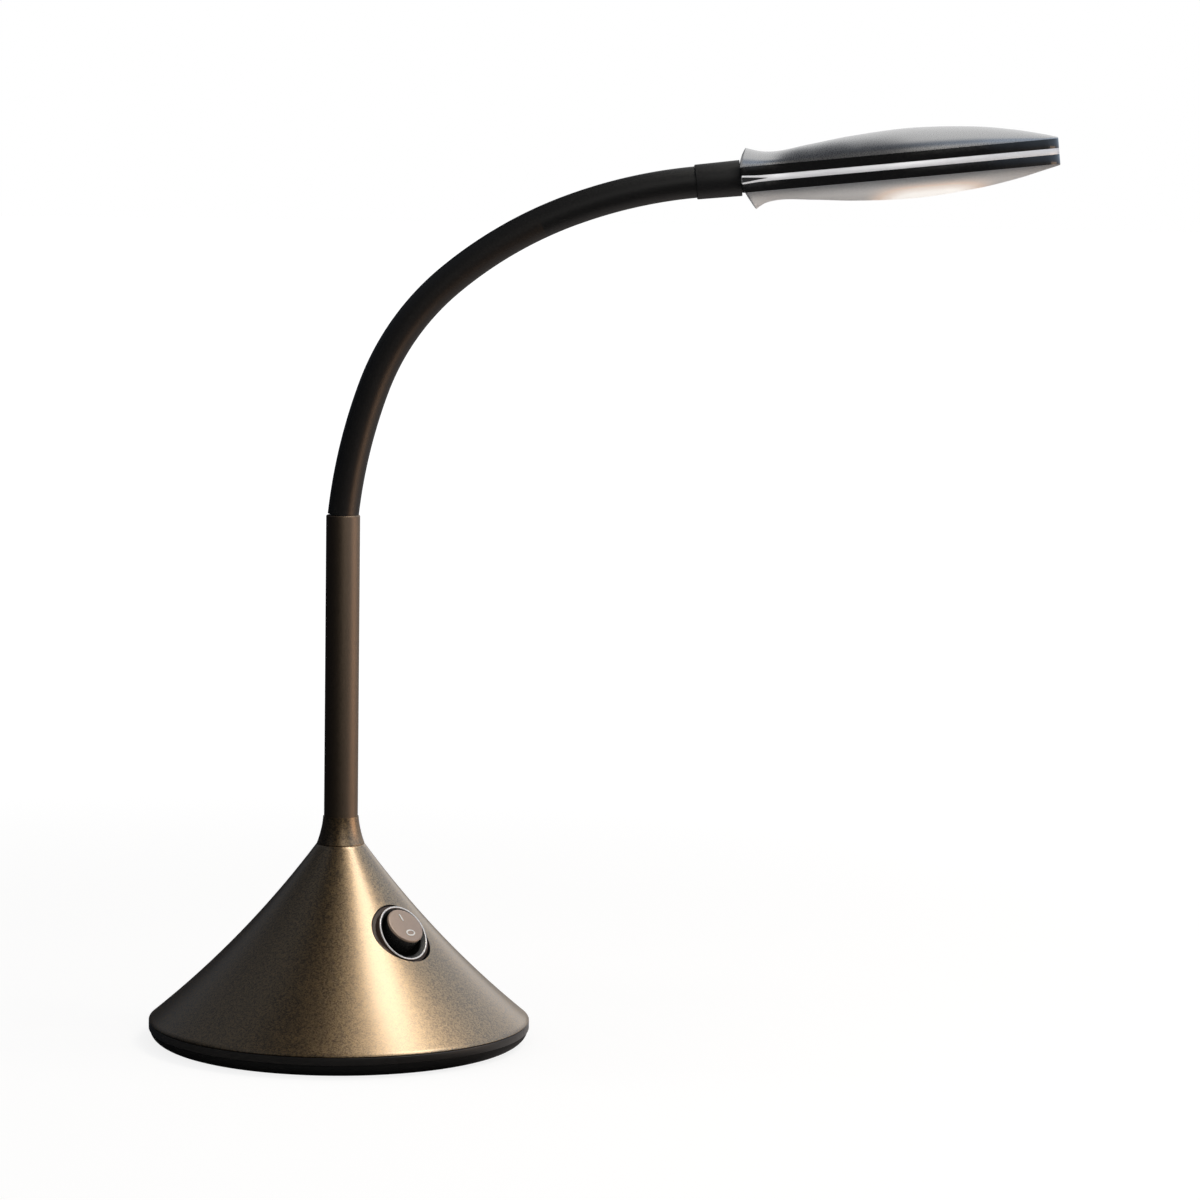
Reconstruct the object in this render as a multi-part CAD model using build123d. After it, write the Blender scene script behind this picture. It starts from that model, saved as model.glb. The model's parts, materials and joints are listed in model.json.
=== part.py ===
from build123d import *
import math
import os

# A desk lamp: a cone base with a round rocker switch, a stiff stem, a bendable neck and a flat
# leaf-shaped head that holds LEDs. Sizes are in millimetres and angles in degrees.
# The origin is the centre of the underside, +Z is up, and +X is the way the head reaches.

# Base: a spun cone on a black plate, with a rubber pad below it
base_radius = 75.0
pad_thickness = 5.4
pad_inset = 0.5
pad_sole_inset = 8.5
plate_thickness = 2.2
rim_height = 2.95
rim_width = 3.5
cone_top_radius = 9.45
cone_top_z = 78.6
cone_sag = 2.95
cone_wall = 2.6
lip_radius = 0.4

# Screws that hold the plate, the weight and the circuit board
screw_count = 3
plate_screw_inset = 18.0
plate_screw_circle = base_radius - plate_screw_inset
plate_screw_first = 30.0
plate_screw_radius = 1.4
plate_screw_length = 9.5
pillar_radius = 3.6
pillar_height = 16.0
weight_inset = 29.0
weight_radius = base_radius - weight_inset
weight_thickness = 14.0
weight_edge = 1.2
weight_screw_inset = 12.0
weight_screw_circle = weight_radius - weight_screw_inset
weight_screw_first = 90.0
weight_screw_radius = 1.9
weight_screw_length = 8.0
screw_head_ratio = 2.0
standoff_radius = 2.4
standoff_height = 3.8
board_screw_radius = 1.0
board_screw_length = 5.0

# Circuit board, its parts and the block that takes the supply cord
board_length = 44.0
board_width = 24.0
board_thickness = 1.6
board_inset = 26.0
board_centre = (-10.0, weight_radius - board_inset)
board_hole_inset = 3.0
coil_size = (12.0, 12.0, 9.0)
capacitor_radius = 4.5
capacitor_height = 9.5
chip_size = (6.0, 5.0, 1.6)
block_size = (16.0, 9.0, 10.0)
block_behind_gland = 7.5
block_screw_radius = 1.9
block_pitch = 6.0
lead_radius = 0.7
lead_pad_inset = 4.0
lead_pad_edge = 2.5
lead_rise = 6.0
supply_lead_height = 31.8

# Cord gland at the back of the cone
gland_z = 13.2
gland_bore_radius = 2.1
gland_radius = 3.4
gland_flange_radius = 4.8
gland_flange_thickness = 1.6
gland_mouth_round = 0.5
gland_inset = 0.5
gland_outer_y = base_radius - gland_inset
gland_boss_radius = 5.3
gland_boss_length = 14.5
gland_boss_inner_y = gland_outer_y - gland_boss_length
block_y = gland_boss_inner_y - block_behind_gland

# Round rocker switch: where its axis meets the cone, and which way it faces
switch_azimuth = 47.7
switch_z = 47.2
switch_tilt = 33.0
pocket_radius = 13.2
pocket_depth = 3.6
seat_thickness = 2.6
seat_wall = 2.0
bezel_radius = 11.4
bezel_top = 0.3
bezel_dish = 1.1
bezel_rim = 0.5
switch_body_radius = 10.2
switch_cavity_radius = 9.4
switch_body_depth = 20.0
switch_floor = 1.6
rocker_radius = 7.8
pivot_depth = 6.2
rocker_rise = 9.6
rocker_skirt = 3.4
rocker_edge = 0.6
rocker_face_thickness = 0.9
rocker_angle = 12.0
trunnion_radius = 1.0
trunnion_clearance = 0.05
trunnion_end = 9.9
mark_thickness = 0.15
mark_offset = 3.7
mark_stroke = 0.6
plunger_radius = 1.2
plunger_reach = 7.7
plunger_top = 2.0
spring_height = 2.4
spring_wire = 0.4
guide_radius = 2.3
guide_depth = 6.0
strip_top_depth = 14.0
strip_length = 12.0
strip_width = 4.0
strip_thickness = 0.6
strip_angle = 8.0
fulcrum_gap = 0.1
terminal_width = 4.8
terminal_thickness = 0.8
terminal_pitch = 6.0
terminal_reach = 27.0

# Collar and stem
collar_top_z = 89.5
collar_top_radius = 6.95
collar_sag = 0.4
collar_socket_depth = 5.0
stem_radius = 6.65
stem_wall = 1.2
stem_top_z = 208.3
nipple_radius = 4.9
nipple_bore = 3.4
nipple_bottom_z = 64.8
nipple_top_z = 100.8
nut_across_flats = 17.0
nut_height = 4.5
washer_radius = 7.4
washer_thickness = 1.2
cone_top_thickness = 2.4
stem_lead_radius = 0.55
stem_lead_offset = 0.8

# Bendable neck: arcs that touch, each a length and a turn, then equal links with a ball at one
# end and a cup at the other
neck_start_angle = 6.0
neck_arcs = [(51.5, 14.0), (51.5, 29.5), (54.5, 19.5), (50.0, 15.0)]
neck_links = 10
sleeve_radius = 6.1
core_radius = 2.95
core_bore = 1.7
ball_gap = 0.3
core_gap = 0.2
socket_depth = 11.0
core_seat = 9.0
core_grip = 6.5

# Lamp head, along its own axis from tail to tip
ferrule_length = 17.5
ferrule_start_radius = 6.75
ferrule_end_radius = 7.0
ferrule_edge = 0.4
sleeve_seat = 8.5
spigot_radius = 3.4
spigot_length = 8.0
head_drop = 0.8
head_lead_bore = 1.8
plate_half = 1.2
band_half = 4.9
band_wall = 2.6
stripe_inset = 0.2
plate_slot_extra = 6.0
plate_slot_clearance = 0.3
shell_wall = 1.5
tip_corner = 5.0
# Each station is a distance from the tail, a half width, and the crown above and below the band
head_stations = [
    (0.0, 15.0, 7.3, 6.8),
    (13.0, 12.4, 5.0, 4.1),
    (27.0, 14.4, 6.4, 5.2),
    (44.0, 17.8, 8.2, 7.1),
    (67.0, 20.8, 9.2, 8.2),
    (91.0, 18.8, 7.6, 6.6),
    (107.0, 14.8, 4.9, 4.2),
    (118.0, 11.0, 2.2, 1.8),
    (123.4, 8.8, 0.6, 0.6),
]
cavity_stations = (1, 7)
cavity_least = 0.4
tail_round = (0.5, 3.3, 3.1)
tail_slant = (0.5, 4.6)
led_board_start = 25.0
led_board_end = 106.0
led_board_inset = 5.5
led_board_thickness = 1.2
led_columns = 9
led_rows = 2
led_size = (3.0, 2.8, 0.7)
led_row_pitch = 12.0
led_end_margin = 7.0
led_screw_radius = 0.9
led_screw_spots = [(31.0, 0.0), (100.0, 0.0)]
led_screw_head = 1.0
head_lead_offset = 0.75

# Places worked out from the sizes above
rim_top = pad_thickness + rim_height
plate_top = pad_thickness + plate_thickness
weight_top = plate_top + weight_thickness
board_bottom = weight_top + standoff_height
board_top = board_bottom + board_thickness
block_top = plate_top + block_size[2]
stem_bottom_z = collar_top_z - collar_socket_depth
stem_bore = stem_radius - stem_wall


def at_z(z):
    return Pos(0, 0, z)


def rod(radius, bottom, top, x=0.0, y=0.0):
    height = top - bottom
    return Pos(x, y, bottom) * Cylinder(radius, height, align=(Align.CENTER, Align.CENTER, Align.MIN))


def block(length, width, height, x=0.0, y=0.0, z=0.0):
    return Pos(x, y, z) * Box(length, width, height, align=(Align.CENTER, Align.CENTER, Align.MIN))


def turned(*edges):
    """A solid of revolution about Z, from edges drawn as radius and height."""
    return revolve(Plane.XZ * make_face(Curve() + list(edges)), Axis.Z)


def on_circle(radius, count, first):
    """Points spread evenly round the Z axis."""
    angles = [math.radians(first + 360.0 * i / count) for i in range(count)]
    return [(radius * math.cos(a), radius * math.sin(a)) for a in angles]


def plate_screw_spots():
    return on_circle(plate_screw_circle, screw_count, plate_screw_first)


def weight_screw_spots():
    return on_circle(weight_screw_circle, screw_count, weight_screw_first)


def group(solids):
    return Compound(children=list(solids))


def lead(points, radius, bends):
    """A wire along straight runs joined by tangent arcs."""
    path = FilletPolyline(*points, radius=bends)
    start = Plane(origin=path @ 0, z_dir=path % 0)
    return sweep(start * Circle(radius), path=path)


# The cone's outline is one arc that sags inwards between its foot and its top.
cone_foot = (base_radius - 0.3 * lip_radius, rim_top + 1.7 * lip_radius)
cone_top = (cone_top_radius, cone_top_z)


def arc_centre(start, end, sag):
    """Centre and radius of an arc whose middle lies sag inside the chord, towards the axis."""
    dr, dz = end[0] - start[0], end[1] - start[1]
    chord = math.hypot(dr, dz)
    radius = (chord * chord / 4 + sag * sag) / (2 * sag)
    reach = (radius - sag) / chord
    return ((start[0] + end[0]) / 2 + dz * reach, (start[1] + end[1]) / 2 - dr * reach, radius)


def arc_radius_at(start, end, sag, z):
    """Distance of the arc's point at height z from the Z axis."""
    centre_r, centre_z, radius = arc_centre(start, end, sag)
    return centre_r - math.sqrt(radius * radius - (z - centre_z) ** 2)


def cone_radius(z):
    return arc_radius_at(cone_foot, cone_top, cone_sag, z)


def cone_arc(inset, low, high):
    """The cone's outline between two heights, moved towards the axis by inset."""
    middle = (low + high) / 2
    points = [(cone_radius(z) - inset, z) for z in (low, middle, high)]
    return ThreePointArc(*points), points


def cone_envelope():
    """The full cone without its hollow, used to trim what is fused to its inner wall."""
    arc, points = cone_arc(0.0, cone_foot[1], cone_top_z)
    foot = (base_radius - lip_radius, rim_top)
    lip = ThreePointArc(foot, (base_radius, rim_top + lip_radius), points[0])
    return turned(
        Line((0, rim_top), foot),
        lip,
        arc,
        Line(points[2], (0, cone_top_z)),
        Line((0, cone_top_z), (0, rim_top)),
    )


def cone_hollow():
    ceiling = cone_top_z - cone_top_thickness
    arc, points = cone_arc(cone_wall, cone_foot[1], ceiling)
    floor = (points[0][0], rim_top)
    return turned(
        Line((0, rim_top), floor),
        Line(floor, points[0]),
        arc,
        Line(points[2], (0, ceiling)),
        Line((0, ceiling), (0, rim_top)),
    )


# The switch's own frame: its origin is on the cone, x runs level and z points out of the cone.
def switch_plane():
    turn, tilt = math.radians(switch_azimuth), math.radians(switch_tilt)
    radius = cone_radius(switch_z)
    origin = (radius * math.sin(turn), -radius * math.cos(turn), switch_z)
    out = (math.cos(tilt) * math.sin(turn), -math.cos(tilt) * math.cos(turn), math.sin(tilt))
    return Plane(origin=origin, x_dir=(math.cos(turn), math.sin(turn), 0), z_dir=out)


def cone_shell():
    envelope = cone_envelope()
    shell = envelope - cone_hollow()
    seat = rod(pocket_radius + seat_wall, -pocket_depth - seat_thickness, pocket_radius)
    shell += (switch_plane() * seat) & envelope
    boss = Pos(0, gland_boss_inner_y, gland_z) * Rot(-90, 0, 0) * rod(gland_boss_radius, 0, base_radius)
    shell += boss & envelope
    low_space = rod(base_radius, plate_top, rim_top)
    for x, y in plate_screw_spots():
        pillar = rod(pillar_radius, plate_top, plate_top + pillar_height, x, y)
        shell += pillar & (envelope + low_space)
    for x, y in plate_screw_spots():
        shell -= rod(plate_screw_radius, plate_top, pad_thickness + plate_screw_length, x, y)
    shell -= switch_plane() * rod(pocket_radius, -pocket_depth, 2 * pocket_radius)
    shell -= switch_plane() * rod(switch_body_radius, -pocket_depth - seat_thickness, 0)
    shell -= gland_hole()
    shell -= rod(nipple_radius, cone_top_z - cone_top_thickness, cone_top_z)
    return shell


def gland_hole():
    return Pos(0, gland_boss_inner_y, gland_z) * Rot(-90, 0, 0) * rod(gland_radius, 0, base_radius)


def cord_gland():
    """A rubber bush: flanged inside, plain outside, with a bore for a round cord."""
    inner = gland_boss_inner_y - gland_flange_thickness
    length = gland_outer_y - inner
    bush = rod(gland_flange_radius, 0, gland_flange_thickness) + rod(gland_radius, 0, length)
    bush -= rod(gland_bore_radius, 0, length)
    bush = fillet(bush.edges().group_by(Axis.Z)[-1], gland_mouth_round)
    return Pos(0, inner, gland_z) * Rot(-90, 0, 0) * bush


def foot_pad():
    """A rubber disc whose side rounds out from a smaller sole to the plate above."""
    sole = (base_radius - pad_sole_inset, 0)
    edge = (base_radius - pad_inset, pad_thickness)
    bulge = (0.3 * sole[0] + 0.7 * edge[0], 0.3 * pad_thickness)
    return turned(
        Line((0, 0), sole),
        ThreePointArc(sole, bulge, edge),
        Line(edge, (0, pad_thickness)),
        Line((0, pad_thickness), (0, 0)),
    )


def countersunk(radius, length, x, y):
    """A countersunk screw that points up, its head flush with the plate's underside."""
    head_radius = radius * screw_head_ratio
    head = Pos(x, y, pad_thickness) * Cone(
        head_radius, radius, head_radius - radius, align=(Align.CENTER, Align.CENTER, Align.MIN)
    )
    slot = block(head_radius * 1.5, radius * 0.5, radius * 0.4, x, y, pad_thickness)
    return head + rod(radius, pad_thickness, pad_thickness + length, x, y) - slot


def base_screws():
    spots = plate_screw_spots()
    return group(countersunk(plate_screw_radius, plate_screw_length, x, y) for x, y in spots)


def weight_screws():
    spots = weight_screw_spots()
    return group(countersunk(weight_screw_radius, weight_screw_length, x, y) for x, y in spots)


def base_plate():
    plate = rod(base_radius, pad_thickness, rim_top)
    plate -= rod(base_radius - rim_width, plate_top, rim_top)
    for radius, length, spots in (
        (plate_screw_radius, plate_screw_length, plate_screw_spots()),
        (weight_screw_radius, weight_screw_length, weight_screw_spots()),
    ):
        for x, y in spots:
            head_radius = radius * screw_head_ratio
            plate -= Pos(x, y, pad_thickness) * Cone(
                head_radius, radius, head_radius - radius, align=(Align.CENTER, Align.CENTER, Align.MIN)
            )
            plate -= rod(radius, pad_thickness, rim_top, x, y)
    return plate


def board_spots():
    half_x, half_y = board_length / 2 - board_hole_inset, board_width / 2 - board_hole_inset
    return [(board_centre[0] + i * half_x, board_centre[1] + i * half_y) for i in (-1, 1)]


def weight_disc():
    disc = rod(weight_radius, plate_top, weight_top)
    rims = disc.edges().filter_by(GeomType.CIRCLE)
    disc = chamfer(rims, weight_edge)
    for x, y in board_spots():
        disc += rod(standoff_radius, weight_top, board_bottom, x, y)
        disc -= rod(board_screw_radius, board_top - board_screw_length, board_bottom, x, y)
    for x, y in weight_screw_spots():
        disc -= rod(weight_screw_radius, plate_top, pad_thickness + weight_screw_length, x, y)
    return disc


def driver_board():
    board = block(board_length, board_width, board_thickness, *board_centre, board_bottom)
    for x, y in board_spots():
        board -= rod(board_screw_radius, board_bottom, board_top, x, y)
    return board


def board_screws():
    screws = []
    for x, y in board_spots():
        head = rod(board_screw_radius * screw_head_ratio, board_top, board_top + 1.4, x, y)
        screws.append(head + rod(board_screw_radius, board_top - board_screw_length, board_top, x, y))
    return group(screws)


def driver_parts():
    x, y = board_centre
    coil = block(*coil_size, x - 3, y, board_top)
    coil = fillet(coil.edges().filter_by(Axis.Z), 2.5)
    can = rod(capacitor_radius, board_top, board_top + capacitor_height, x - 15, y + 2)
    can = chamfer(can.edges().group_by(Axis.Z)[-1], 0.6)
    chip = block(*chip_size, x + 12, y + 2, board_top)
    return group([coil, can, chip])


def terminal_block():
    body = block(*block_size, 0, block_y, plate_top)
    for side in (-1, 1):
        x = side * block_pitch / 2
        body -= rod(block_screw_radius, block_top - 3.0, block_top, x, block_y + 2.2)
        entry = Pos(x, block_y + block_size[1] / 2, gland_z) * Rot(90, 0, 0) * rod(1.4, 0, 4.0)
        body -= entry
    return body


def supply_leads():
    """Two wires from the block, over the weight and down to the board's near edge."""
    pad_y = board_centre[1] + board_width / 2 - lead_pad_edge
    start_y = block_y - 1.5
    wires = []
    for side in (-1, 1):
        x = side * block_pitch / 2
        points = [
            (x, start_y, block_top),
            (x, start_y, block_top + 5.0),
            (x, start_y - 11.0, supply_lead_height),
            (x, pad_y, supply_lead_height),
            (x, pad_y, board_top),
        ]
        wires.append(lead(points, lead_radius, [4.0, 5.0, 2.0]))
    return group(wires)


def switch_housing():
    """Bezel, barrel and floor of the switch, with holes for the rocker's trunnions."""
    shoulder = (bezel_radius, bezel_top - bezel_rim)
    crown = (bezel_radius - bezel_rim, bezel_top)
    dish = (switch_cavity_radius, bezel_top - bezel_dish)
    foot = (switch_cavity_radius, -pocket_depth)
    bezel = turned(
        Line(foot, (bezel_radius, -pocket_depth)),
        Line((bezel_radius, -pocket_depth), shoulder),
        ThreePointArc(
            shoulder, (bezel_radius - 0.3 * bezel_rim, bezel_top - 0.3 * bezel_rim), crown
        ),
        Line(crown, dish),
        Line(dish, foot),
    )
    barrel = rod(switch_body_radius, -switch_body_depth, -pocket_depth)
    barrel -= rod(switch_cavity_radius, -switch_body_depth + switch_floor, -pocket_depth)
    housing = bezel + barrel
    hole = Pos(0, 0, -pivot_depth) * Rot(0, 90, 0) * Cylinder(
        trunnion_radius + trunnion_clearance, 2 * trunnion_end + 0.2
    )
    housing -= hole
    for v in (0.0, -terminal_pitch):
        housing -= Pos(0, v, -switch_body_depth) * Box(terminal_width, terminal_thickness, 3 * switch_floor)
    return switch_plane() * housing


def switch_terminals():
    """Two blades through the floor: the middle one carries the strip, the other meets its end."""
    drop = strip_length / 2 * math.sin(math.radians(strip_angle))
    top = {0.0: strip_pivot_depth(), -terminal_pitch: strip_pivot_depth() + drop}
    blades = []
    for v, depth in top.items():
        blade = block(terminal_width, terminal_thickness, terminal_reach - depth, 0, v, -terminal_reach)
        blades.append(switch_plane() * blade)
    return group(blades)


def strip_pivot_depth():
    """Depth of the top of the middle terminal, which is where the contact strip rocks."""
    return strip_top_depth + strip_thickness + fulcrum_gap


def contact_strip():
    strip = Box(strip_width, strip_length, strip_thickness)
    lift = Pos(0, 0, strip_thickness / 2 + fulcrum_gap)
    tilt = Rot(strip_angle, 0, 0)
    return switch_plane() * Pos(0, 0, -strip_pivot_depth()) * tilt * lift * strip


def rocked(shape):
    """Puts a piece of the rocker, drawn about its pivot, at the pressed-in ON position."""
    return switch_plane() * Pos(0, 0, -pivot_depth) * Rot(-rocker_angle, 0, 0) * shape


def rocker_blank():
    """The button's barrel, with a rounded edge round its face."""
    barrel = rod(rocker_radius, -rocker_skirt, rocker_rise)
    return fillet(barrel.edges().group_by(Axis.Z)[-1], rocker_edge)


def rocker():
    body = rocker_blank() & rod(2 * rocker_radius, -rocker_skirt, rocker_rise - rocker_face_thickness)
    body += rod(guide_radius, -guide_depth, -rocker_skirt)
    body += Rot(0, 90, 0) * Cylinder(trunnion_radius, 2 * trunnion_end)
    body -= rod(plunger_radius + 0.05, -guide_depth, -plunger_top + spring_height)
    return rocked(body)


def rocker_face():
    face = rocker_blank() & rod(2 * rocker_radius, rocker_rise - rocker_face_thickness, rocker_rise)
    return rocked(face)


def rocker_marks():
    """A bar on the half that switches on and a ring on the half that switches off."""
    bar = block(mark_stroke, 3.2, mark_thickness, 0, mark_offset, rocker_rise)
    ring = Pos(0, -mark_offset, rocker_rise) * extrude(
        Ellipse(2.2, 1.5) - Ellipse(2.2 - mark_stroke, 1.5 - mark_stroke), mark_thickness
    )
    return group([rocked(bar), rocked(ring)])


def switch_plunger():
    pin = rod(plunger_radius, -plunger_reach, -plunger_top)
    pin = fillet(pin.edges().group_by(Axis.Z)[0], plunger_radius * 0.8)
    return rocked(pin)


def plunger_spring():
    top = -plunger_top + spring_height
    spring = rod(plunger_radius, -plunger_top, top) - rod(plunger_radius - spring_wire, -plunger_top, top)
    return rocked(spring)


def switch_leads():
    """Wires from the two blades to the end of the board that is nearest the switch."""
    plane = switch_plane()
    end_x = board_centre[0] + board_length / 2 - lead_pad_inset
    pad_y = board_centre[1] - board_width / 2 + lead_pad_edge
    wires = []
    for v, side in ((0.0, -1), (-terminal_pitch, 1)):
        tip = plane.from_local_coords(Vector(0, v, -terminal_reach))
        out = tip - plane.z_dir * 3.5
        pad_x = end_x + side * 1.6
        points = [
            tuple(tip),
            tuple(out),
            (out.X - 1.0 + side * 1.0, (out.Y + pad_y) / 2, board_top + lead_rise),
            (pad_x, pad_y, board_top + lead_rise),
            (pad_x, pad_y, board_top),
        ]
        wires.append(lead(points, lead_radius, [1.6, 2.0, 2.0]))
    return group(wires)


def collar():
    """The flared ring between cone and stem, with a socket that the stem stands in."""
    foot, top = (cone_top_radius, cone_top_z), (collar_top_radius, collar_top_z)
    middle_z = (cone_top_z + collar_top_z) / 2
    middle = (arc_radius_at(foot, top, collar_sag, middle_z), middle_z)
    body = turned(
        Line((0, cone_top_z), foot),
        ThreePointArc(foot, middle, top),
        Line(top, (0, collar_top_z)),
        Line((0, collar_top_z), (0, cone_top_z)),
    )
    body -= rod(stem_radius, stem_bottom_z, collar_top_z)
    return body - rod(nipple_radius, cone_top_z, collar_top_z)


def stem_tube():
    """A steel tube, with a smaller bore at its foot where the threaded nipple is fixed."""
    tube = rod(stem_radius, stem_bottom_z, stem_top_z) - rod(stem_bore, nipple_top_z, stem_top_z)
    return tube - rod(nipple_radius, stem_bottom_z, nipple_top_z)


def stem_nipple():
    tube = rod(nipple_radius, nipple_bottom_z, nipple_top_z)
    return tube - rod(nipple_bore, nipple_bottom_z, nipple_top_z)


def stem_washer():
    top = cone_top_z - cone_top_thickness
    return rod(washer_radius, top - washer_thickness, top) - rod(nipple_radius, top - washer_thickness, top)


def stem_nut():
    top = cone_top_z - cone_top_thickness - washer_thickness
    hexagon = RegularPolygon(nut_across_flats / 2, 6, major_radius=False)
    nut = at_z(top - nut_height) * extrude(hexagon, nut_height)
    crown = Cone(nut_across_flats / 2 + 3.4, nut_across_flats / 2 - 1.2, 4.6)
    nut = nut & (at_z(top - nut_height + 2.3 - 0.6) * Rot(180, 0, 0) * crown)
    return nut - rod(nipple_radius, top - nut_height, top)


# The neck's centre line, as distance along it from the top of the stem
neck_length = sum(length for length, turn in neck_arcs)
link_length = neck_length / neck_links


def neck_point(distance):
    """Point and heading of the neck, the heading being its lean from vertical in degrees."""
    x, z, heading = 0.0, stem_top_z, neck_start_angle
    left = distance
    for length, turn in neck_arcs:
        step = min(left, length)
        lean = turn * step / length
        chord = step if turn == 0 else 2 * (length / math.radians(turn)) * math.sin(math.radians(lean / 2))
        middle = math.radians(heading + lean / 2)
        x, z = x + chord * math.sin(middle), z + chord * math.cos(middle)
        heading, left = heading + lean, left - step
    return x, z, heading


def neck_joints():
    """Centres of the ball joints, from the stem to the head."""
    return [neck_point((k + 0.5) * link_length)[:2] for k in range(neck_links)]


head_angle = neck_start_angle + sum(turn for length, turn in neck_arcs)
neck_end = neck_point(neck_length)
head_tail = (
    neck_end[0] + ferrule_length * math.sin(math.radians(head_angle)),
    neck_end[1] + ferrule_length * math.cos(math.radians(head_angle)),
)


def ferrule_plane():
    """The frame of the neck's end: x along the ferrule, y level across it, origin at its end."""
    lean = math.radians(head_angle)
    return Plane(
        origin=(head_tail[0], 0, head_tail[1]),
        x_dir=(math.sin(lean), 0, math.cos(lean)),
        z_dir=(-math.cos(lean), 0, math.sin(lean)),
    )


def head_plane():
    """The head's frame, a little below the ferrule's: x from tail to tip, z towards its top."""
    return ferrule_plane() * Pos(0, 0, -head_drop)


def link_plane(k):
    """The frame of neck link k: origin at its lower joint, z along it to the next joint."""
    joints = neck_joints()
    if k == 0:
        start, end = (0.0, stem_top_z), joints[0]
    elif k == neck_links:
        start, end = joints[-1], head_tail
    else:
        start, end = joints[k - 1], joints[k]
    along = Vector(end[0] - start[0], 0, end[1] - start[1])
    return Plane(origin=(start[0], 0, start[1]), x_dir=(0, 1, 0), z_dir=along), along.length


def link_ends(k):
    """Where link k's straight part begins and ends along its own axis."""
    length = link_plane(k)[1]
    start = -socket_depth if k == 0 else 0.0
    end = length - ferrule_length + sleeve_seat if k == neck_links else length
    return start, end


def neck_sleeve(k):
    """A link of the neck's rubber skin: a ball at the lower end and a cup at the upper."""
    plane = link_plane(k)[0]
    start, end = link_ends(k)
    body = rod(sleeve_radius, start, end)
    ball_cut = math.sqrt(sleeve_radius**2 - core_radius**2)
    if k > 0:
        body += Sphere(sleeve_radius) & rod(sleeve_radius, -ball_cut, 1.0)
    if k < neck_links:
        body -= at_z(end) * Sphere(sleeve_radius + ball_gap)
    body -= rod(core_radius, -2 * socket_depth, end)
    body = plane * body
    if k == 0:
        body -= rod(3 * sleeve_radius, stem_top_z - 3 * socket_depth, stem_top_z)
    return body


def neck_core(k):
    """A length of the stiff metal hose inside the skin, hollow for the lamp's wires."""
    plane = link_plane(k)[0]
    start, end = link_ends(k)
    ball_cut = math.sqrt(sleeve_radius**2 - core_radius**2)
    low = -core_seat if k == 0 else -ball_cut
    high = end - sleeve_radius - ball_gap - core_gap if k < neck_links else end + core_grip
    return plane * (rod(core_radius, low, high) - rod(core_bore, low, high))


def neck_socket():
    """A bush in the stem's mouth that grips the end of the metal hose."""
    bush = rod(stem_bore, stem_top_z - socket_depth, stem_top_z)
    grip = link_plane(0)[0] * rod(core_radius, -core_seat, 2 * core_seat)
    return bush - grip - rod(nipple_bore, stem_top_z - socket_depth, stem_top_z - core_seat + 0.5)


def stem_leads():
    """Two wires from the board up the stem, which end inside the neck's metal hose."""
    start_x, start_y = board_centre[0] + 9.0, board_centre[1] - board_width / 2 + 6.0
    lean = link_plane(0)[0].z_dir
    top = Vector(0, 0, stem_top_z)
    wires = []
    for side in (-1, 1):
        y = side * stem_lead_offset
        points = [
            (start_x, start_y + 2 * y, board_top),
            (start_x, start_y + 2 * y, board_top + 9.0),
            (0, y, nipple_bottom_z - 6.0),
            (0, y, stem_top_z - 3 * core_seat),
            tuple(top - lean * 1.2 * core_seat + Vector(0, y, 0)),
            tuple(top + lean * 0.4 * core_seat + Vector(0, y, 0)),
        ]
        wires.append(lead(points, stem_lead_radius, [4.0, 12.0, 20.0, 20.0]))
    return group(wires)


def neck_ferrule():
    """The tapered black end of the neck, with a hollow spigot that is fixed in the head."""
    body = Pos(0, 0, -ferrule_length) * Cone(
        ferrule_start_radius,
        ferrule_end_radius,
        ferrule_length,
        align=(Align.CENTER, Align.CENTER, Align.MIN),
    )
    body = fillet(body.edges().group_by(Axis.Z)[0], ferrule_edge)
    body += rod(spigot_radius, 0, spigot_length)
    body -= rod(head_lead_bore, -ferrule_length, spigot_length)
    link = link_plane(neck_links)[0]
    sleeve_end = link_ends(neck_links)[1]
    body = ferrule_plane() * Rot(0, 90, 0) * body
    return body - link * (rod(sleeve_radius, 0, sleeve_end) + rod(core_radius, 0, sleeve_end + core_grip))


def head_outline(inset=0.0):
    """The head's plan: bowed sides that pinch in near the tail, and a blunt tip."""
    side = [(x, width - inset) for x, width, top, bottom in head_stations]
    side[0] = (side[0][0] + inset, side[0][1])
    side[-1] = (side[-1][0] - inset, side[-1][1])
    other = [(x, -y) for x, y in reversed(side)]
    outline = make_face(
        Curve() + [Spline(*side), Line(side[-1], other[0]), Spline(*other), Line(other[-1], side[0])]
    )
    tips = outline.vertices().group_by(Axis.X)[-1]
    return fillet(tips, tip_corner)


def spigot_cut():
    return at_z(head_drop) * Rot(0, 90, 0) * rod(spigot_radius, -1.0, spigot_length + 1.0)


def band(low, high):
    """One black layer of the head's edge: a ring whose tail is cut for the spigot."""
    ring = at_z(low) * extrude(head_outline() - head_outline(band_wall), high - low)
    return head_plane() * (ring - spigot_cut())


def heat_plate():
    """The aluminium plate that carries the LEDs; its edge is the bright stripe."""
    plate = at_z(-plate_half) * extrude(head_outline(stripe_inset), 2 * plate_half)
    slot_length = spigot_length + plate_slot_extra
    slot_width = 2 * (spigot_radius + plate_slot_clearance)
    plate -= block(2 * slot_length, slot_width, 2 * plate_half, 0, 0, -plate_half)
    for x, y in led_screw_spots:
        plate -= rod(led_screw_radius, -plate_half, plate_half, x, y)
    return head_plane() * plate


def dome_section(x, half_width, height, up):
    """Half an ellipse across the head, standing on the band's edge."""
    plane = Plane(origin=(x, 0, up * band_half), x_dir=(0, 1, 0), z_dir=(up, 0, 0))
    arc = EllipticalCenterArc((0, 0), half_width, height, start_angle=0, arc_size=180)
    return plane * make_face(Curve() + [arc, Line((-half_width, 0), (half_width, 0))])


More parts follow.
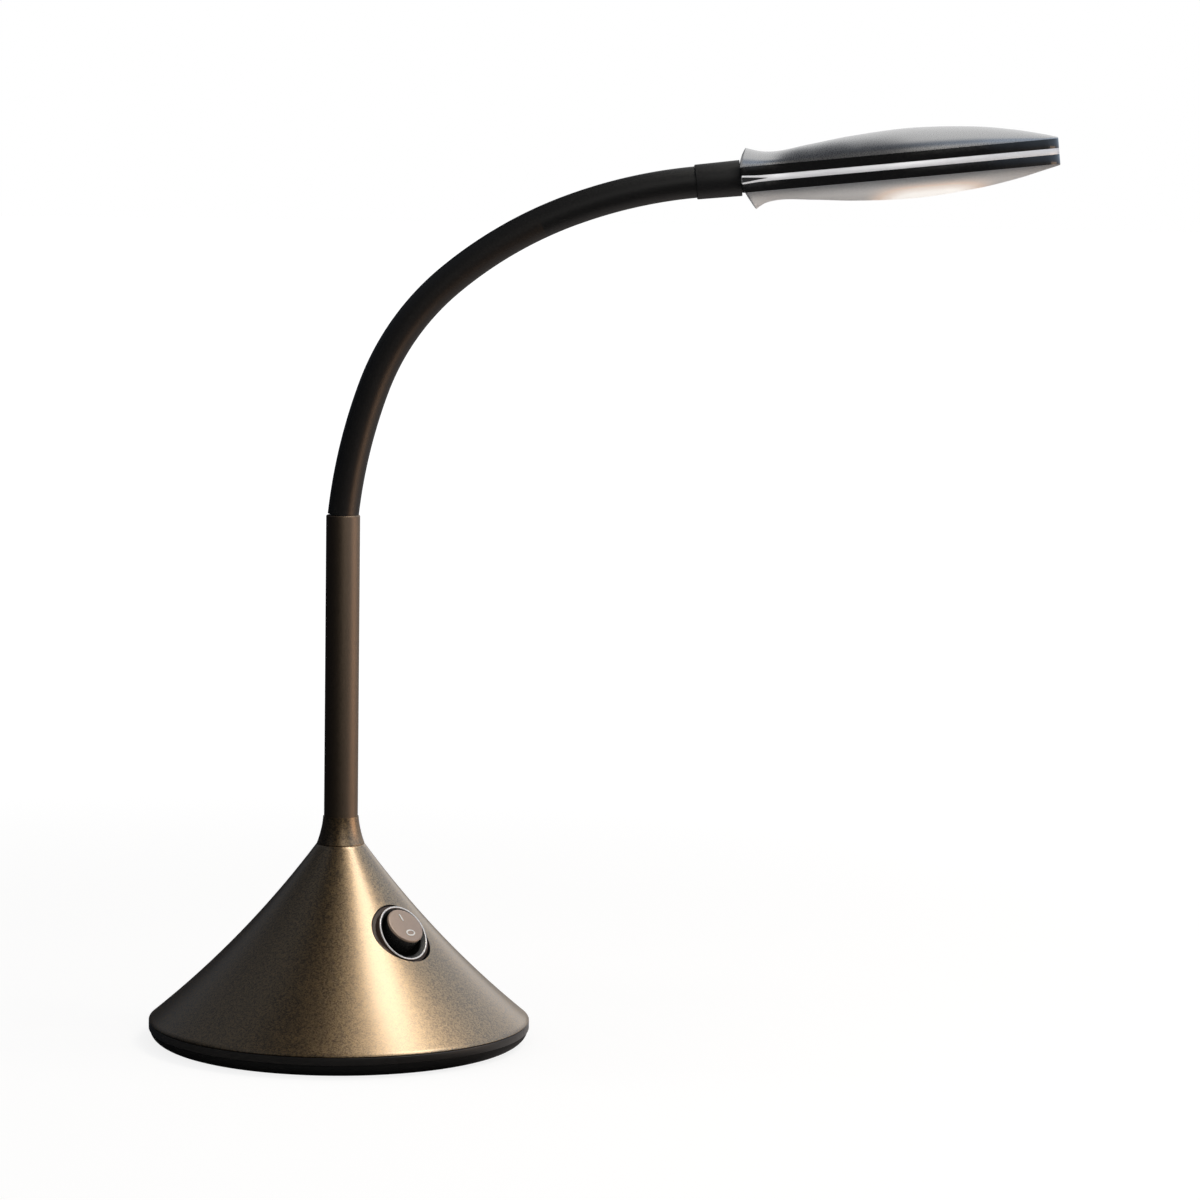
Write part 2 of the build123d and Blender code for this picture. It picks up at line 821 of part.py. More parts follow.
def dome(up):
    """A hollow shell lofted through the stations, above the band or below it."""
    crown = 2 if up > 0 else 3
    outer = loft([dome_section(s[0], s[1], s[crown], up) for s in head_stations])
    first, last = cavity_stations
    sections = []
    for station in head_stations[first : last + 1]:
        height = max(station[crown] - shell_wall, cavity_least)
        sections.append(dome_section(station[0], station[1] - shell_wall, height, up))
    inner = loft(sections)
    reach = band_half + max(station[crown] for station in head_stations)
    plan = at_z(-2 * reach) * extrude(head_outline(), 4 * reach)
    return (outer - inner) & plan


def top_shell():
    """The silver upper shell; its tail end is rounded back."""
    height = head_stations[0][2]
    foot, bulge, back = tail_round
    edge = Curve() + [
        ThreePointArc(
            (-1.0 + foot, band_half - 0.5),
            (foot, band_half + 0.45 * height),
            (back, band_half + height - 0.3),
        ),
        Line((back, band_half + height - 0.3), (back, band_half + 2 * height)),
        Line((back, band_half + 2 * height), (-1.0 + foot - bulge, band_half + 2 * height)),
        Line((-1.0 + foot - bulge, band_half + 2 * height), (-1.0 + foot - bulge, band_half - 0.5)),
        Line((-1.0 + foot - bulge, band_half - 0.5), (-1.0 + foot, band_half - 0.5)),
    ]
    cutter = extrude(Plane.XZ * make_face(edge), 3 * height, both=True)
    return head_plane() * (dome(1) - cutter)


def diffuser():
    """The frosted lower shell that the light comes through; its tail end is cut on a slant."""
    depth = head_stations[0][3]
    near, far = tail_slant
    edge = Polyline(
        (near - 1.0, -band_half + 1.0),
        (far + 1.0, -band_half - depth - 1.0),
        (-depth, -band_half - depth - 1.0),
        (-depth, -band_half + 1.0),
        close=True,
    )
    cutter = extrude(Plane.XZ * make_face(edge), 3 * depth, both=True)
    return head_plane() * (dome(-1) - cutter)


def led_board():
    low = -plate_half - led_board_thickness
    length = led_board_end - led_board_start
    middle = (led_board_start + led_board_end) / 2
    widest = 2 * max(half_width for x, half_width, top, bottom in head_stations)
    bounds = at_z(low) * extrude(head_outline(led_board_inset), led_board_thickness)
    board = bounds & block(length, widest, led_board_thickness, middle, 0, low)
    for x, y in led_screw_spots:
        board -= rod(led_screw_radius, low, -plate_half, x, y)
    return head_plane() * board


def led_chips():
    low = -plate_half - led_board_thickness - led_size[2]
    first_x = led_board_start + led_end_margin
    span = led_board_end - led_end_margin - first_x
    chips = []
    for i in range(led_columns):
        for j in range(led_rows):
            x = first_x + span * i / (led_columns - 1)
            y = (j - (led_rows - 1) / 2) * led_row_pitch
            chips.append(head_plane() * block(*led_size, x, y, low))
    return group(chips)


def led_screws():
    low = -plate_half - led_board_thickness
    screws = []
    for x, y in led_screw_spots:
        head = rod(led_screw_radius * screw_head_ratio, low - led_screw_head, low, x, y)
        screws.append(head_plane() * (head + rod(led_screw_radius, low, plate_half, x, y)))
    return group(screws)


def head_leads():
    """Two wires from the neck's hose to the end of the LED board."""
    board_z = -plate_half - led_board_thickness / 2
    start = -ferrule_length + sleeve_seat + 2.0
    bend_x = spigot_length + 0.5
    wires = []
    for side in (-1, 1):
        y = side * head_lead_offset
        points = [
            (start, y, head_drop),
            (bend_x, y, head_drop),
            (bend_x + 5.0, y, board_z),
            (led_board_start, y, board_z),
        ]
        wires.append(head_plane() * lead(points, stem_lead_radius, [4.0, 4.0]))
    return group(wires)


nodes = {
    "foot_pad": foot_pad(),
    "base_plate": base_plate(),
    "base_screws": base_screws(),
    "weight_disc": weight_disc(),
    "weight_screws": weight_screws(),
    "cone_shell": cone_shell(),
    "cord_gland": cord_gland(),
    "terminal_block": terminal_block(),
    "supply_leads": supply_leads(),
    "driver_board": driver_board(),
    "driver_parts": driver_parts(),
    "board_screws": board_screws(),
    "switch_housing": switch_housing(),
    "switch_terminals": switch_terminals(),
    "switch_leads": switch_leads(),
    "contact_strip": contact_strip(),
    "rocker": rocker(),
    "rocker_face": rocker_face(),
    "rocker_marks": rocker_marks(),
    "switch_plunger": switch_plunger(),
    "plunger_spring": plunger_spring(),
    "collar": collar(),
    "stem_nipple": stem_nipple(),
    "stem_washer": stem_washer(),
    "stem_nut": stem_nut(),
    "stem_tube": stem_tube(),
    "neck_socket": neck_socket(),
    "stem_leads": stem_leads(),
    "neck_ferrule": neck_ferrule(),
    "upper_band": band(plate_half, band_half),
    "heat_plate": heat_plate(),
    "lower_band": band(-band_half, -plate_half),
    "top_shell": top_shell(),
    "diffuser": diffuser(),
    "led_board": led_board(),
    "led_chips": led_chips(),
    "led_screws": led_screws(),
    "head_leads": head_leads(),
}
for k in range(neck_links + 1):
    nodes[f"neck_sleeve_{k:02d}"] = neck_sleeve(k)
    nodes[f"neck_core_{k:02d}"] = neck_core(k)

os.makedirs("parts", exist_ok=True)
for name, shape in nodes.items():
    export_step(shape, f"parts/{name}.step")
print(len(nodes), "nodes, head angle", round(head_angle, 2), "tail", [round(v, 1) for v in head_tail])
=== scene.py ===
import json
import math

import bmesh
import bpy
from mathutils import Matrix, Vector

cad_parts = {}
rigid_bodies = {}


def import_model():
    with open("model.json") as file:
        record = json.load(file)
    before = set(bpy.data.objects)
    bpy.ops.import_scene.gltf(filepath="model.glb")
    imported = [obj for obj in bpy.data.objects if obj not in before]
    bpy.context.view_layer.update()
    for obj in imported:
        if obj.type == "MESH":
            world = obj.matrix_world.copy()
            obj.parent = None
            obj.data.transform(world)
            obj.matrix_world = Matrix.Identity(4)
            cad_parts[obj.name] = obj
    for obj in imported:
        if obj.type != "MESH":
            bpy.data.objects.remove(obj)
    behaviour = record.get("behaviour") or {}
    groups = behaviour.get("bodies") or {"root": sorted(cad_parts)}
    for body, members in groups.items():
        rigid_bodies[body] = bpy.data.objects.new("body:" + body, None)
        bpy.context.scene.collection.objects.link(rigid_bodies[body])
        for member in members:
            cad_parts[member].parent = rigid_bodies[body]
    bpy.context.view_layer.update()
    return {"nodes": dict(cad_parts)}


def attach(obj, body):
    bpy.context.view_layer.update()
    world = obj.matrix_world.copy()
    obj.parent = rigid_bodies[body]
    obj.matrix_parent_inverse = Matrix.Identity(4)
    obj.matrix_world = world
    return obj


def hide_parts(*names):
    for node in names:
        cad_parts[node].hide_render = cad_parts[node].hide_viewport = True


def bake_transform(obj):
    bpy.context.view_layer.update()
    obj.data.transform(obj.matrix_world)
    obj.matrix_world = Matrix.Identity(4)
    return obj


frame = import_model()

# Camera. A long lens a little above the head of the lamp, level with its side.
# The picture is square, and its content leans a little clockwise.
lens_length, film_width, camera_place = 127.38, 36.0, (0.1008, -1.654, 0.3441)
looking_down, picture_lean = 5.795, 0.794  # in degrees
camera = bpy.data.objects.new("camera", bpy.data.cameras.new("camera"))
camera.data.sensor_width = film_width
camera.data.lens = lens_length
camera.matrix_world = (
    Matrix.Translation(camera_place)
    @ Matrix.Rotation(math.radians(90.0 - looking_down), 4, "X")
    @ Matrix.Rotation(math.radians(picture_lean), 4, "Z")
)
bpy.context.scene.collection.objects.link(camera)
bpy.context.scene.camera = camera
bpy.context.scene.view_settings.view_transform = "Standard"


# Studio. A pale floor under a plain white surround, lit by soft boxes from above, in front and
# from the right. A dome of flag cloth, open at the right and seen only by reflections, gives metal
# its dark side.
def add(tree, kind, inputs=(), **settings):
    """A node in tree, with its settings, and its inputs as values or as other nodes' outputs."""
    made = tree.nodes.new(kind)
    for key, value in settings.items():
        setattr(made, key, value)
    for key, value in dict(inputs).items():
        if isinstance(value, bpy.types.NodeSocket):
            tree.links.new(value, made.inputs[key])
        else:
            made.inputs[key].default_value = value
    return made


def seen_directly(tree):
    """1 for what the camera sees, straight or through gloss and glass, and 0 for light on matt things."""
    path = add(tree, "ShaderNodeLightPath").outputs
    both = add(tree, "ShaderNodeMath", {0: path["Is Camera Ray"], 1: path["Is Glossy Ray"]})
    total = add(tree, "ShaderNodeMath", {0: both.outputs[0], 1: path["Is Transmission Ray"]}, use_clamp=True)
    return total.outputs[0]


def soft_box(name, place, aim, width, height, watts, colour):
    """A rectangular soft light at place, turned towards aim."""
    lamp = bpy.data.lights.new(name, "AREA")
    lamp.shape = "RECTANGLE"
    lamp.size, lamp.size_y = width, height
    lamp.energy = watts
    lamp.color = colour
    holder = bpy.data.objects.new(name, lamp)
    holder.location = place
    holder.rotation_euler = (Vector(aim) - Vector(place)).to_track_quat("-Z", "Y").to_euler()
    holder.visible_camera = False
    bpy.context.scene.collection.objects.link(holder)
    return holder


def staged(bm, name, material):
    """An object of the studio, which isn't part of the lamp."""
    mesh = bpy.data.meshes.new(name)
    bm.to_mesh(mesh)
    bm.free()
    mesh.materials.append(material)
    made = bpy.data.objects.new(name, mesh)
    bpy.context.scene.collection.objects.link(made)
    return made


world = bpy.data.worlds.new("surround")
world.use_nodes = True
bpy.context.scene.world = world
tree = world.node_tree
tree.nodes.clear()
fill = add(tree, "ShaderNodeBackground", {"Color": (0.93, 0.95, 1.0, 1.0), "Strength": 0.35})
white = add(tree, "ShaderNodeBackground", {"Color": (1.0, 1.0, 1.0, 1.0), "Strength": 1.0})
blend = add(tree, "ShaderNodeMixShader", {0: seen_directly(tree), 1: fill.outputs[0], 2: white.outputs[0]})
add(tree, "ShaderNodeOutputWorld", {0: blend.outputs[0]})

floor_paint = bpy.data.materials.new("pale_floor")
floor_paint.use_nodes = True
tree = floor_paint.node_tree
tree.nodes.clear()
where = add(tree, "ShaderNodeTexCoord")
away = add(tree, "ShaderNodeVectorMath", {0: where.outputs["Object"]}, operation="LENGTH")
far = add(
    tree,
    "ShaderNodeMapRange",
    {0: away.outputs["Value"], "From Min": 0.25, "From Max": 1.3, "To Min": 0.84, "To Max": 1.0},
    interpolation_type="SMOOTHSTEP",
)
matt = add(tree, "ShaderNodeBsdfDiffuse", {"Color": (0.75, 0.75, 0.75, 1.0)})
shade = add(tree, "ShaderNodeBsdfDiffuse", {"Color": (0.22, 0.22, 0.22, 1.0)})
glow = add(tree, "ShaderNodeEmission", {"Color": (1.0, 1.0, 1.0, 1.0), "Strength": far.outputs[0]})
lit = add(tree, "ShaderNodeAddShader", {0: shade.outputs[0], 1: glow.outputs[0]})
blend = add(tree, "ShaderNodeMixShader", {0: seen_directly(tree), 1: matt.outputs[0], 2: lit.outputs[0]})
add(tree, "ShaderNodeOutputMaterial", {0: blend.outputs[0]})
floor_radius = 25.0
bm = bmesh.new()
bmesh.ops.create_circle(bm, cap_ends=True, segments=96, radius=floor_radius)
staged(bm, "floor", floor_paint)


def smooth_step(tree, value, low, high):
    """0 below low and 1 above high, or the other way round, with a soft change between."""
    span = {0: value, "From Min": low, "From Max": high}
    return add(tree, "ShaderNodeMapRange", span, interpolation_type="SMOOTHSTEP").outputs[0]


def times(tree, one, other):
    """The product of two outputs."""
    return add(tree, "ShaderNodeMath", {0: one, 1: other}, operation="MULTIPLY").outputs[0]


def mixed(tree, share, one, other):
    """A colour between two, each given as a colour or as an output."""
    made = add(tree, "ShaderNodeMix", {0: share, 6: one, 7: other}, data_type="RGBA")
    return made.outputs[2]


flag_cloth = bpy.data.materials.new("flag_cloth")
flag_cloth.use_nodes = True
tree = flag_cloth.node_tree
tree.nodes.clear()
where = add(tree, "ShaderNodeTexCoord")
ray = add(tree, "ShaderNodeVectorMath", {0: where.outputs["Object"]}, operation="NORMALIZE")
side = add(tree, "ShaderNodeSeparateXYZ", {0: ray.outputs[0]}).outputs
rightward = smooth_step(tree, side["X"], -0.1, 0.75)
low_tone = mixed(tree, rightward, (0.014, 0.016, 0.02, 1.0), (0.4, 0.37, 0.36, 1.0))
raised = smooth_step(tree, side["Z"], 0.12, 0.4)
strip = times(tree, smooth_step(tree, side["X"], -0.85, -0.6), smooth_step(tree, side["X"], -0.3, -0.55))
leftward = mixed(tree, strip, (0.008, 0.011, 0.018, 1.0), (0.1, 0.115, 0.14, 1.0))
scrim = mixed(tree, rightward, leftward, (0.56, 0.68, 0.86, 1.0))
tone = mixed(tree, raised, low_tone, scrim)
in_front = smooth_step(tree, side["Y"], -0.3, -0.8)
tone = mixed(tree, in_front, tone, (0.018, 0.018, 0.019, 1.0))
opening = times(tree, smooth_step(tree, side["X"], 0.0, 0.14), smooth_step(tree, side["X"], 0.62, 0.38))
opening = times(tree, opening, smooth_step(tree, side["Y"], -0.3, 0.1))
opening = times(tree, opening, smooth_step(tree, side["Z"], 0.06, 0.16))
cloth = add(tree, "ShaderNodeEmission", {"Color": tone, "Strength": 1.0})
clear = add(tree, "ShaderNodeBsdfTransparent")
blend = add(tree, "ShaderNodeMixShader", {0: opening, 1: cloth.outputs[0], 2: clear.outputs[0]})
add(tree, "ShaderNodeOutputMaterial", {0: blend.outputs[0]})
bm = bmesh.new()
dome_radius, above_floor = 1.2, 0.0004
bmesh.ops.create_uvsphere(bm, u_segments=48, v_segments=24, radius=dome_radius)
for vert in bm.verts:
    vert.co.z = max(vert.co.z, above_floor)
bmesh.ops.remove_doubles(bm, verts=bm.verts, dist=1e-6)
flag = staged(bm, "flag", flag_cloth)
flag.visible_camera = False
flag.visible_diffuse = False
flag.visible_shadow = False
flag.visible_transmission = False

top_box = soft_box("top_box", (0.52, -0.08, 1.02), (0.05, 0.0, 0.1), 0.42, 0.45, 4.6, (1.0, 0.93, 0.82))
soft_box("front_box", (0.5, -1.3, 0.9), (0.1, 0.0, 0.2), 0.7, 0.7, 3.0, (1.0, 0.97, 0.93))
soft_box("right_box", (0.95, -0.05, 0.12), (0.05, 0.0, 0.25), 0.5, 0.4, 1.0, (1.0, 0.66, 0.42))


# Rubber foot. A moulded disc glued under the base plate, whose side rounds out from a smaller
# sole. The rubber is matt black with a faint moulded grain.
def outline(points, closed=True):
    """A bmesh with a profile in the XZ plane, from points given as radius and height in mm."""
    made = bmesh.new()
    corners = [made.verts.new((r / 1000, 0.0, z / 1000)) for r, z in points]
    pairs = list(zip(corners, corners[1:]))
    if closed:
        pairs.append((corners[-1], corners[0]))
    for pair in pairs:
        made.edges.new(pair)
    return made


def turn(bm, steps=192):
    """Spins the profile once round Z and closes it."""
    bmesh.ops.spin(
        bm,
        geom=bm.verts[:] + bm.edges[:],
        cent=(0, 0, 0),
        axis=(0, 0, 1),
        angle=2 * math.pi,
        steps=steps,
        use_merge=True,
    )
    bmesh.ops.remove_doubles(bm, verts=bm.verts, dist=1e-7)
    bmesh.ops.recalc_face_normals(bm, faces=bm.faces)


def round_rings(bm, rings, size, segments=4):
    """Rounds the ring edges that lie at these radii and heights, all in mm."""
    near, level = 0.02, 1e-6

    def on_ring(edge):
        """True for an edge that runs level along one of the rings."""
        spots = [(math.hypot(vert.co.x, vert.co.y) * 1000, vert.co.z * 1000) for vert in edge.verts]
        at_rings = all(any(abs(a - r) < near and abs(b - z) < near for r, z in rings) for a, b in spots)
        return at_rings and abs(edge.verts[0].co.z - edge.verts[1].co.z) < level

    edges = [edge for edge in bm.edges if on_ring(edge)]
    bmesh.ops.bevel(
        bm, geom=edges, offset=size / 1000, segments=segments, affect="EDGES", profile=0.5, material=-1
    )


def piece(bm, name, material, slot, body, *nodes, sharp=38.0):
    """Makes a piece of the lamp from bm, which rides on a body and replaces CAD nodes.

    Edges that turn by more than sharp degrees stay crisp, and the rest are shaded smooth.
    """
    for edge in bm.edges:
        if len(edge.link_faces) == 2 and edge.calc_face_angle(0.0) > math.radians(sharp):
            edge.smooth = False
    for face in bm.faces:
        face.smooth = True
    mesh = bpy.data.meshes.new(name)
    bm.to_mesh(mesh)
    bm.free()
    mesh.materials.append(material)
    made = bpy.data.objects.new(name, mesh)
    bpy.context.scene.collection.objects.link(made)
    if body:
        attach(made, body)
    if nodes:
        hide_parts(*nodes)
    return made


def finish(name, dark, light, rough, metal=0.0, grain=900.0, depth=0.00002, spread=0.06, sockets=()):
    """A finish that runs between two tones in a fine grain, with its gloss and surface to match.

    Grain counts per metre, depth is the bump's height in metres, and spread is how far the
    roughness runs to each side of rough.
    """
    made = bpy.data.materials.new(name)
    made.use_nodes = True
    tree = made.node_tree
    shader = tree.nodes["Principled BSDF"]
    where = add(tree, "ShaderNodeTexCoord")
    noise = add(
        tree,
        "ShaderNodeTexNoise",
        {"Vector": where.outputs["Object"], "Scale": grain, "Detail": 3.0, "Roughness": 0.6},
    )
    tone = mixed(tree, noise.outputs[0], (*dark, 1.0), (*light, 1.0))
    span = {"From Min": 0.3, "From Max": 0.7, "To Min": rough - spread, "To Max": rough + spread}
    gloss = add(tree, "ShaderNodeMapRange", {0: noise.outputs[0], **span})
    bump = add(tree, "ShaderNodeBump", {"Height": noise.outputs[0], "Strength": 0.5, "Distance": depth})
    tree.links.new(tone, shader.inputs["Base Color"])
    tree.links.new(gloss.outputs[0], shader.inputs["Roughness"])
    tree.links.new(bump.outputs[0], shader.inputs["Normal"])
    shader.inputs["Metallic"].default_value = metal
    for key, value in dict(sockets).items():
        shader.inputs[key].default_value = value
    return made


def coat(material, *nodes):
    """Gives CAD nodes a finish."""
    for node in nodes:
        for place in frame["nodes"][node].material_slots:
            place.material = material


rubber = finish(
    "moulded_rubber", (0.005, 0.005, 0.005), (0.01, 0.0095, 0.009), 0.6, grain=1400.0,
    sockets={"Specular IOR Level": 0.25},
)
sole, foot_edge, foot_height, arc_steps = 66.5, 74.5, 5.36, 12
quarter = [math.radians(90.0 / arc_steps * i) for i in range(arc_steps + 1)]
side = [(sole + (foot_edge - sole) * math.sin(a), foot_height * (1 - math.cos(a))) for a in quarter]
bm = outline([(0, 0)] + side + [(0, foot_height)], closed=False)
turn(bm)
piece(bm, "foot_disc", rubber, "rubber", "base", "foot_pad")

# Base plate. Black enamelled steel with a turned-up rim, which is the dark band under the cone.
# It is glossier than the foot and picks up a brown and grey sheen.
enamel = finish(
    "black_enamel", (0.012, 0.011, 0.01), (0.02, 0.018, 0.016), 0.34, grain=500.0,
    sockets={"Coat Weight": 0.25},
)
plate_radius, plate_low, plate_high, rim_inside, rim_top = 75.0, 5.4, 7.6, 71.5, 8.35
bm = outline(
    [
        (0, plate_low),
        (plate_radius, plate_low),
        (plate_radius, rim_top),
        (rim_inside, rim_top),
        (rim_inside, plate_high),
        (0, plate_high),
    ],
    closed=False,
)
turn(bm)
round_rings(bm, [(plate_radius, plate_low), (plate_radius, rim_top)], 0.3, 3)
piece(bm, "plate_with_rim", enamel, "black_steel", "base", "base_plate")

# Screws. Zinc-plated steel, which hold the plate to the cone and to the ballast.
# The same plating is on the board's screws and the stem's threaded fittings.
zinc = finish("zinc_plating", (0.45, 0.46, 0.46), (0.66, 0.66, 0.64), 0.3, metal=1.0, grain=2200.0)
coat(zinc, "base_screws", "weight_screws", "board_screws", "stem_nipple", "stem_washer", "stem_nut")
coat(zinc, "neck_socket", "led_screws")

# Ballast. A disc of grey cast iron with a sandy skin, bolted to the plate.
# Two stand-offs on its face carry the circuit board.
iron = finish(
    "cast_iron_skin", (0.05, 0.05, 0.052), (0.13, 0.128, 0.125), 0.7, metal=0.6, grain=420.0, depth=0.0002
)
coat(iron, "weight_disc")

# Cone. Spun steel with a dark bronze metallic lacquer, satin, with fine flakes in it.
# Its side sags inwards, its lip is rolled over the plate, and a round seat is sunk for the switch.
cone_foot, cone_top, cone_sag = (74.88, 9.03), (9.45, 78.6), 2.95
lip_low, lip_bend, lip_inside = (74.6, 8.35), (75.0, 8.75), 72.28
wall_at_foot, inner_top, stem_hole = 2.6, (8.5, 76.2), 4.9
sideways = 1.373  # a level step across the sag, for a sag of 1 square to the cone's side
switch_azimuth, switch_height, switch_rise = math.radians(47.7), 47.2, math.radians(33.0)
seat_radius, seat_depth, barrel_radius = 13.2, 3.6, 10.2
boss_wall, boss_floor, barrel_hole_depth, boss_reach, cut_reach = 2.0, 2.6, 3.5, 14.0, 16.0
gland_height, gland_hole = 13.2, 3.4


def sag_between(bm, low, high, depth, cuts):
    """Divides the edge between two profile points and pulls it towards the axis by depth mm."""
    ends = [Vector((r / 1000, 0, z / 1000)) for r, z in (low, high)]
    edge = min(
        bm.edges,
        key=lambda e: sum(min((v.co - end).length for end in ends) for v in e.verts)
        + abs(e.calc_length() - (ends[1] - ends[0]).length),
    )
    parts = bmesh.ops.subdivide_edges(bm, edges=[edge], cuts=cuts)
    along = ends[1] - ends[0]
    inward = Vector((-along.z, 0, along.x)).normalized() * (1 if along.z > 0 else -1)
    for vert in {v for v in parts["geom_inner"] if isinstance(v, bmesh.types.BMVert)}:
        share = (vert.co - ends[0]).dot(along) / along.length_squared
        vert.co += inward * 4 * share * (1 - share) * depth / 1000


def cone_radius(height):
    """Radius of the cone's outside at a height, both in mm."""
    share = (height - cone_foot[1]) / (cone_top[1] - cone_foot[1])
    straight = cone_foot[0] + (cone_top[0] - cone_foot[0]) * share
    return straight - 4 * share * (1 - share) * cone_sag * sideways


switch_out = Vector(
    (
        math.cos(switch_rise) * math.sin(switch_azimuth),
        -math.cos(switch_rise) * math.cos(switch_azimuth),
        math.sin(switch_rise),
    )
)
switch_level = Vector((math.cos(switch_azimuth), math.sin(switch_azimuth), 0))
switch_up = switch_out.cross(switch_level)
seat_reach = cone_radius(switch_height) / 1000
switch_centre = Vector(
    (seat_reach * math.sin(switch_azimuth), -seat_reach * math.cos(switch_azimuth), switch_height / 1000)
)
switch_axes = Matrix((switch_level, switch_up, switch_out)).transposed()
switch_frame = Matrix.Translation(switch_centre) @ switch_axes.to_4x4()


def loose(bm, name):
    """A plain object from bm, for a cut."""
    mesh = bpy.data.meshes.new(name)
    bm.to_mesh(mesh)
    bm.free()
    made = bpy.data.objects.new(name, mesh)
    bpy.context.scene.collection.objects.link(made)
    return made


def carve(target, tool, operation):
    """Applies one exact boolean to target and removes the tool."""
    step = target.modifiers.new("carve", "BOOLEAN")
    step.operation = operation
    step.solver = "EXACT"
    step.object = tool
    bpy.context.view_layer.update()
    graph = bpy.context.evaluated_depsgraph_get()
    result = bpy.data.meshes.new_from_object(target.evaluated_get(graph))
    target.modifiers.clear()
    target.data = result
    bpy.data.objects.remove(tool)


def drum(radius, low, high, matrix, steps=128):
    """A plain cylinder along Z between two heights in mm, placed by a matrix."""
    made = outline([(0, low), (radius, low), (radius, high), (0, high)], closed=False)
    turn(made, steps)
    made.transform(matrix)
    return made


lacquer = bpy.data.materials.new("bronze_lacquer")
lacquer.use_nodes = True
tree = lacquer.node_tree
shader = tree.nodes["Principled BSDF"]
where = add(tree, "ShaderNodeTexCoord")
flakes = add(tree, "ShaderNodeTexVoronoi", {"Vector": where.outputs["Object"], "Scale": 2100.0})
flake_tone = add(tree, "ShaderNodeSeparateColor", {0: flakes.outputs["Color"]})
cloud = add(tree, "ShaderNodeTexNoise", {"Vector": where.outputs["Object"], "Scale": 2100.0, "Detail": 3.0})
grain_sum = add(tree, "ShaderNodeMath", {0: flake_tone.outputs[0], 1: cloud.outputs[0]})
grain_mid = add(tree, "ShaderNodeMapRange", {0: grain_sum.outputs[0], "From Min": 0.4, "From Max": 1.6})
tone = mixed(tree, grain_mid.outputs[0], (0.16, 0.105, 0.053, 1.0), (0.44, 0.291, 0.136, 1.0))
gloss = add(
    tree,
    "ShaderNodeMapRange",
    {0: grain_mid.outputs[0], "From Min": 0.2, "From Max": 0.8, "To Min": 0.3, "To Max": 0.42},
)
bump = add(tree, "ShaderNodeBump", {"Height": grain_mid.outputs[0], "Strength": 0.35, "Distance": 0.00003})
tree.links.new(tone, shader.inputs["Base Color"])
tree.links.new(gloss.outputs[0], shader.inputs["Roughness"])
tree.links.new(bump.outputs[0], shader.inputs["Normal"])
shader.inputs["Metallic"].default_value = 1.0
shader.inputs["Coat Weight"].default_value = 0.8
shader.inputs["Coat Roughness"].default_value = 0.27
shader.inputs["Coat IOR"].default_value = 1.9

inner_foot = (cone_foot[0] - wall_at_foot, cone_foot[1])
bm = outline(
    [
        (lip_inside, lip_low[1]),
        lip_low,
        lip_bend,
        cone_foot,
        cone_top,
        (stem_hole, cone_top[1]),
        (stem_hole, inner_top[1]),
        inner_top,
        inner_foot,
    ]
)
sag_between(bm, cone_foot, cone_top, cone_sag, 63)
sag_between(bm, inner_foot, inner_top, cone_sag, 31)
turn(bm, 256)
round_rings(bm, [cone_top], 0.3, 3)
shell = loose(bm, "cone_wall")


def under_side(inset):
    """A solid that fills the cone up to inset mm under its outside."""
    floor_middle, floor_edge, below_top = 8.6, 8.8, 0.2
    foot, top = (cone_foot[0] - inset, cone_foot[1]), (cone_top[0] - inset, cone_top[1] - below_top)
    made = outline([(0, floor_middle), (foot[0], floor_edge), foot, top, (0, top[1])], closed=False)
    sag_between(made, foot, top, cone_sag, 31)
    turn(made, 128)
    return loose(made, "under_side")


boss_inset, seat_low, seat_high = 0.4, -9.0, 6.0
boss = loose(drum(seat_radius + boss_wall, -seat_depth - boss_floor, boss_reach, switch_frame), "seat_boss")
carve(boss, under_side(boss_inset), "INTERSECT")
carve(shell, boss, "UNION")
carve(shell, loose(drum(seat_radius, -seat_depth, cut_reach, switch_frame), "seat_cut"), "DIFFERENCE")
barrel_cut = drum(barrel_radius, -seat_depth - barrel_hole_depth, 0.0, switch_frame)
carve(shell, loose(barrel_cut, "barrel_cut"), "DIFFERENCE")
gland_frame = Matrix.Translation((0, 0, gland_height / 1000)) @ Matrix.Rotation(math.radians(-90), 4, "X")
carve(shell, loose(drum(gland_hole, 60.0, 80.0, gland_frame, 48), "gland_cut"), "DIFFERENCE")
bm = bmesh.new()
bm.from_mesh(shell.data)
bpy.data.objects.remove(shell)
cover = piece(bm, "cone_cover", lacquer, "bronze", "base", "cone_shell", sharp=30.0)
# Painted shade: the switch seat's walls and floor and the barrel's hole are painted near black, for the
# shade in the recess.
black_and_painted_shade = finish("black_and_painted_shade", (0.006, 0.006, 0.006), (0.011, 0.01, 0.01), 0.5, grain=1500.0)
cover.data.materials.append(black_and_painted_shade)
to_seat = switch_frame.inverted()
for face in cover.data.polygons:
    spot = (to_seat @ face.center) * 1000
    if math.hypot(spot.x, spot.y) < seat_radius + 0.005 and seat_low < spot.z < seat_high:
        face.material_index = 1

# Cord gland. A black rubber bush at the back of the cone, flanged inside, with a rounded mouth
# for the supply cord.
cord_bore, flange_radius, flange_start, flange_end, mouth = 2.1, 4.8, 58.4, 60.0, 74.5
bm = outline(
    [
        (cord_bore, flange_start),
        (flange_radius, flange_start),
        (flange_radius, flange_end),
        (gland_hole, flange_end),
        (gland_hole, mouth),
        (cord_bore, mouth),
    ]
)
turn(bm, 64)
round_rings(bm, [(gland_hole, mouth), (cord_bore, mouth)], 0.5, 4)
bm.transform(gland_frame)
bmesh.ops.recalc_face_normals(bm, faces=bm.faces)
piece(bm, "gland_bush", rubber, "rubber", "base", "cord_gland")

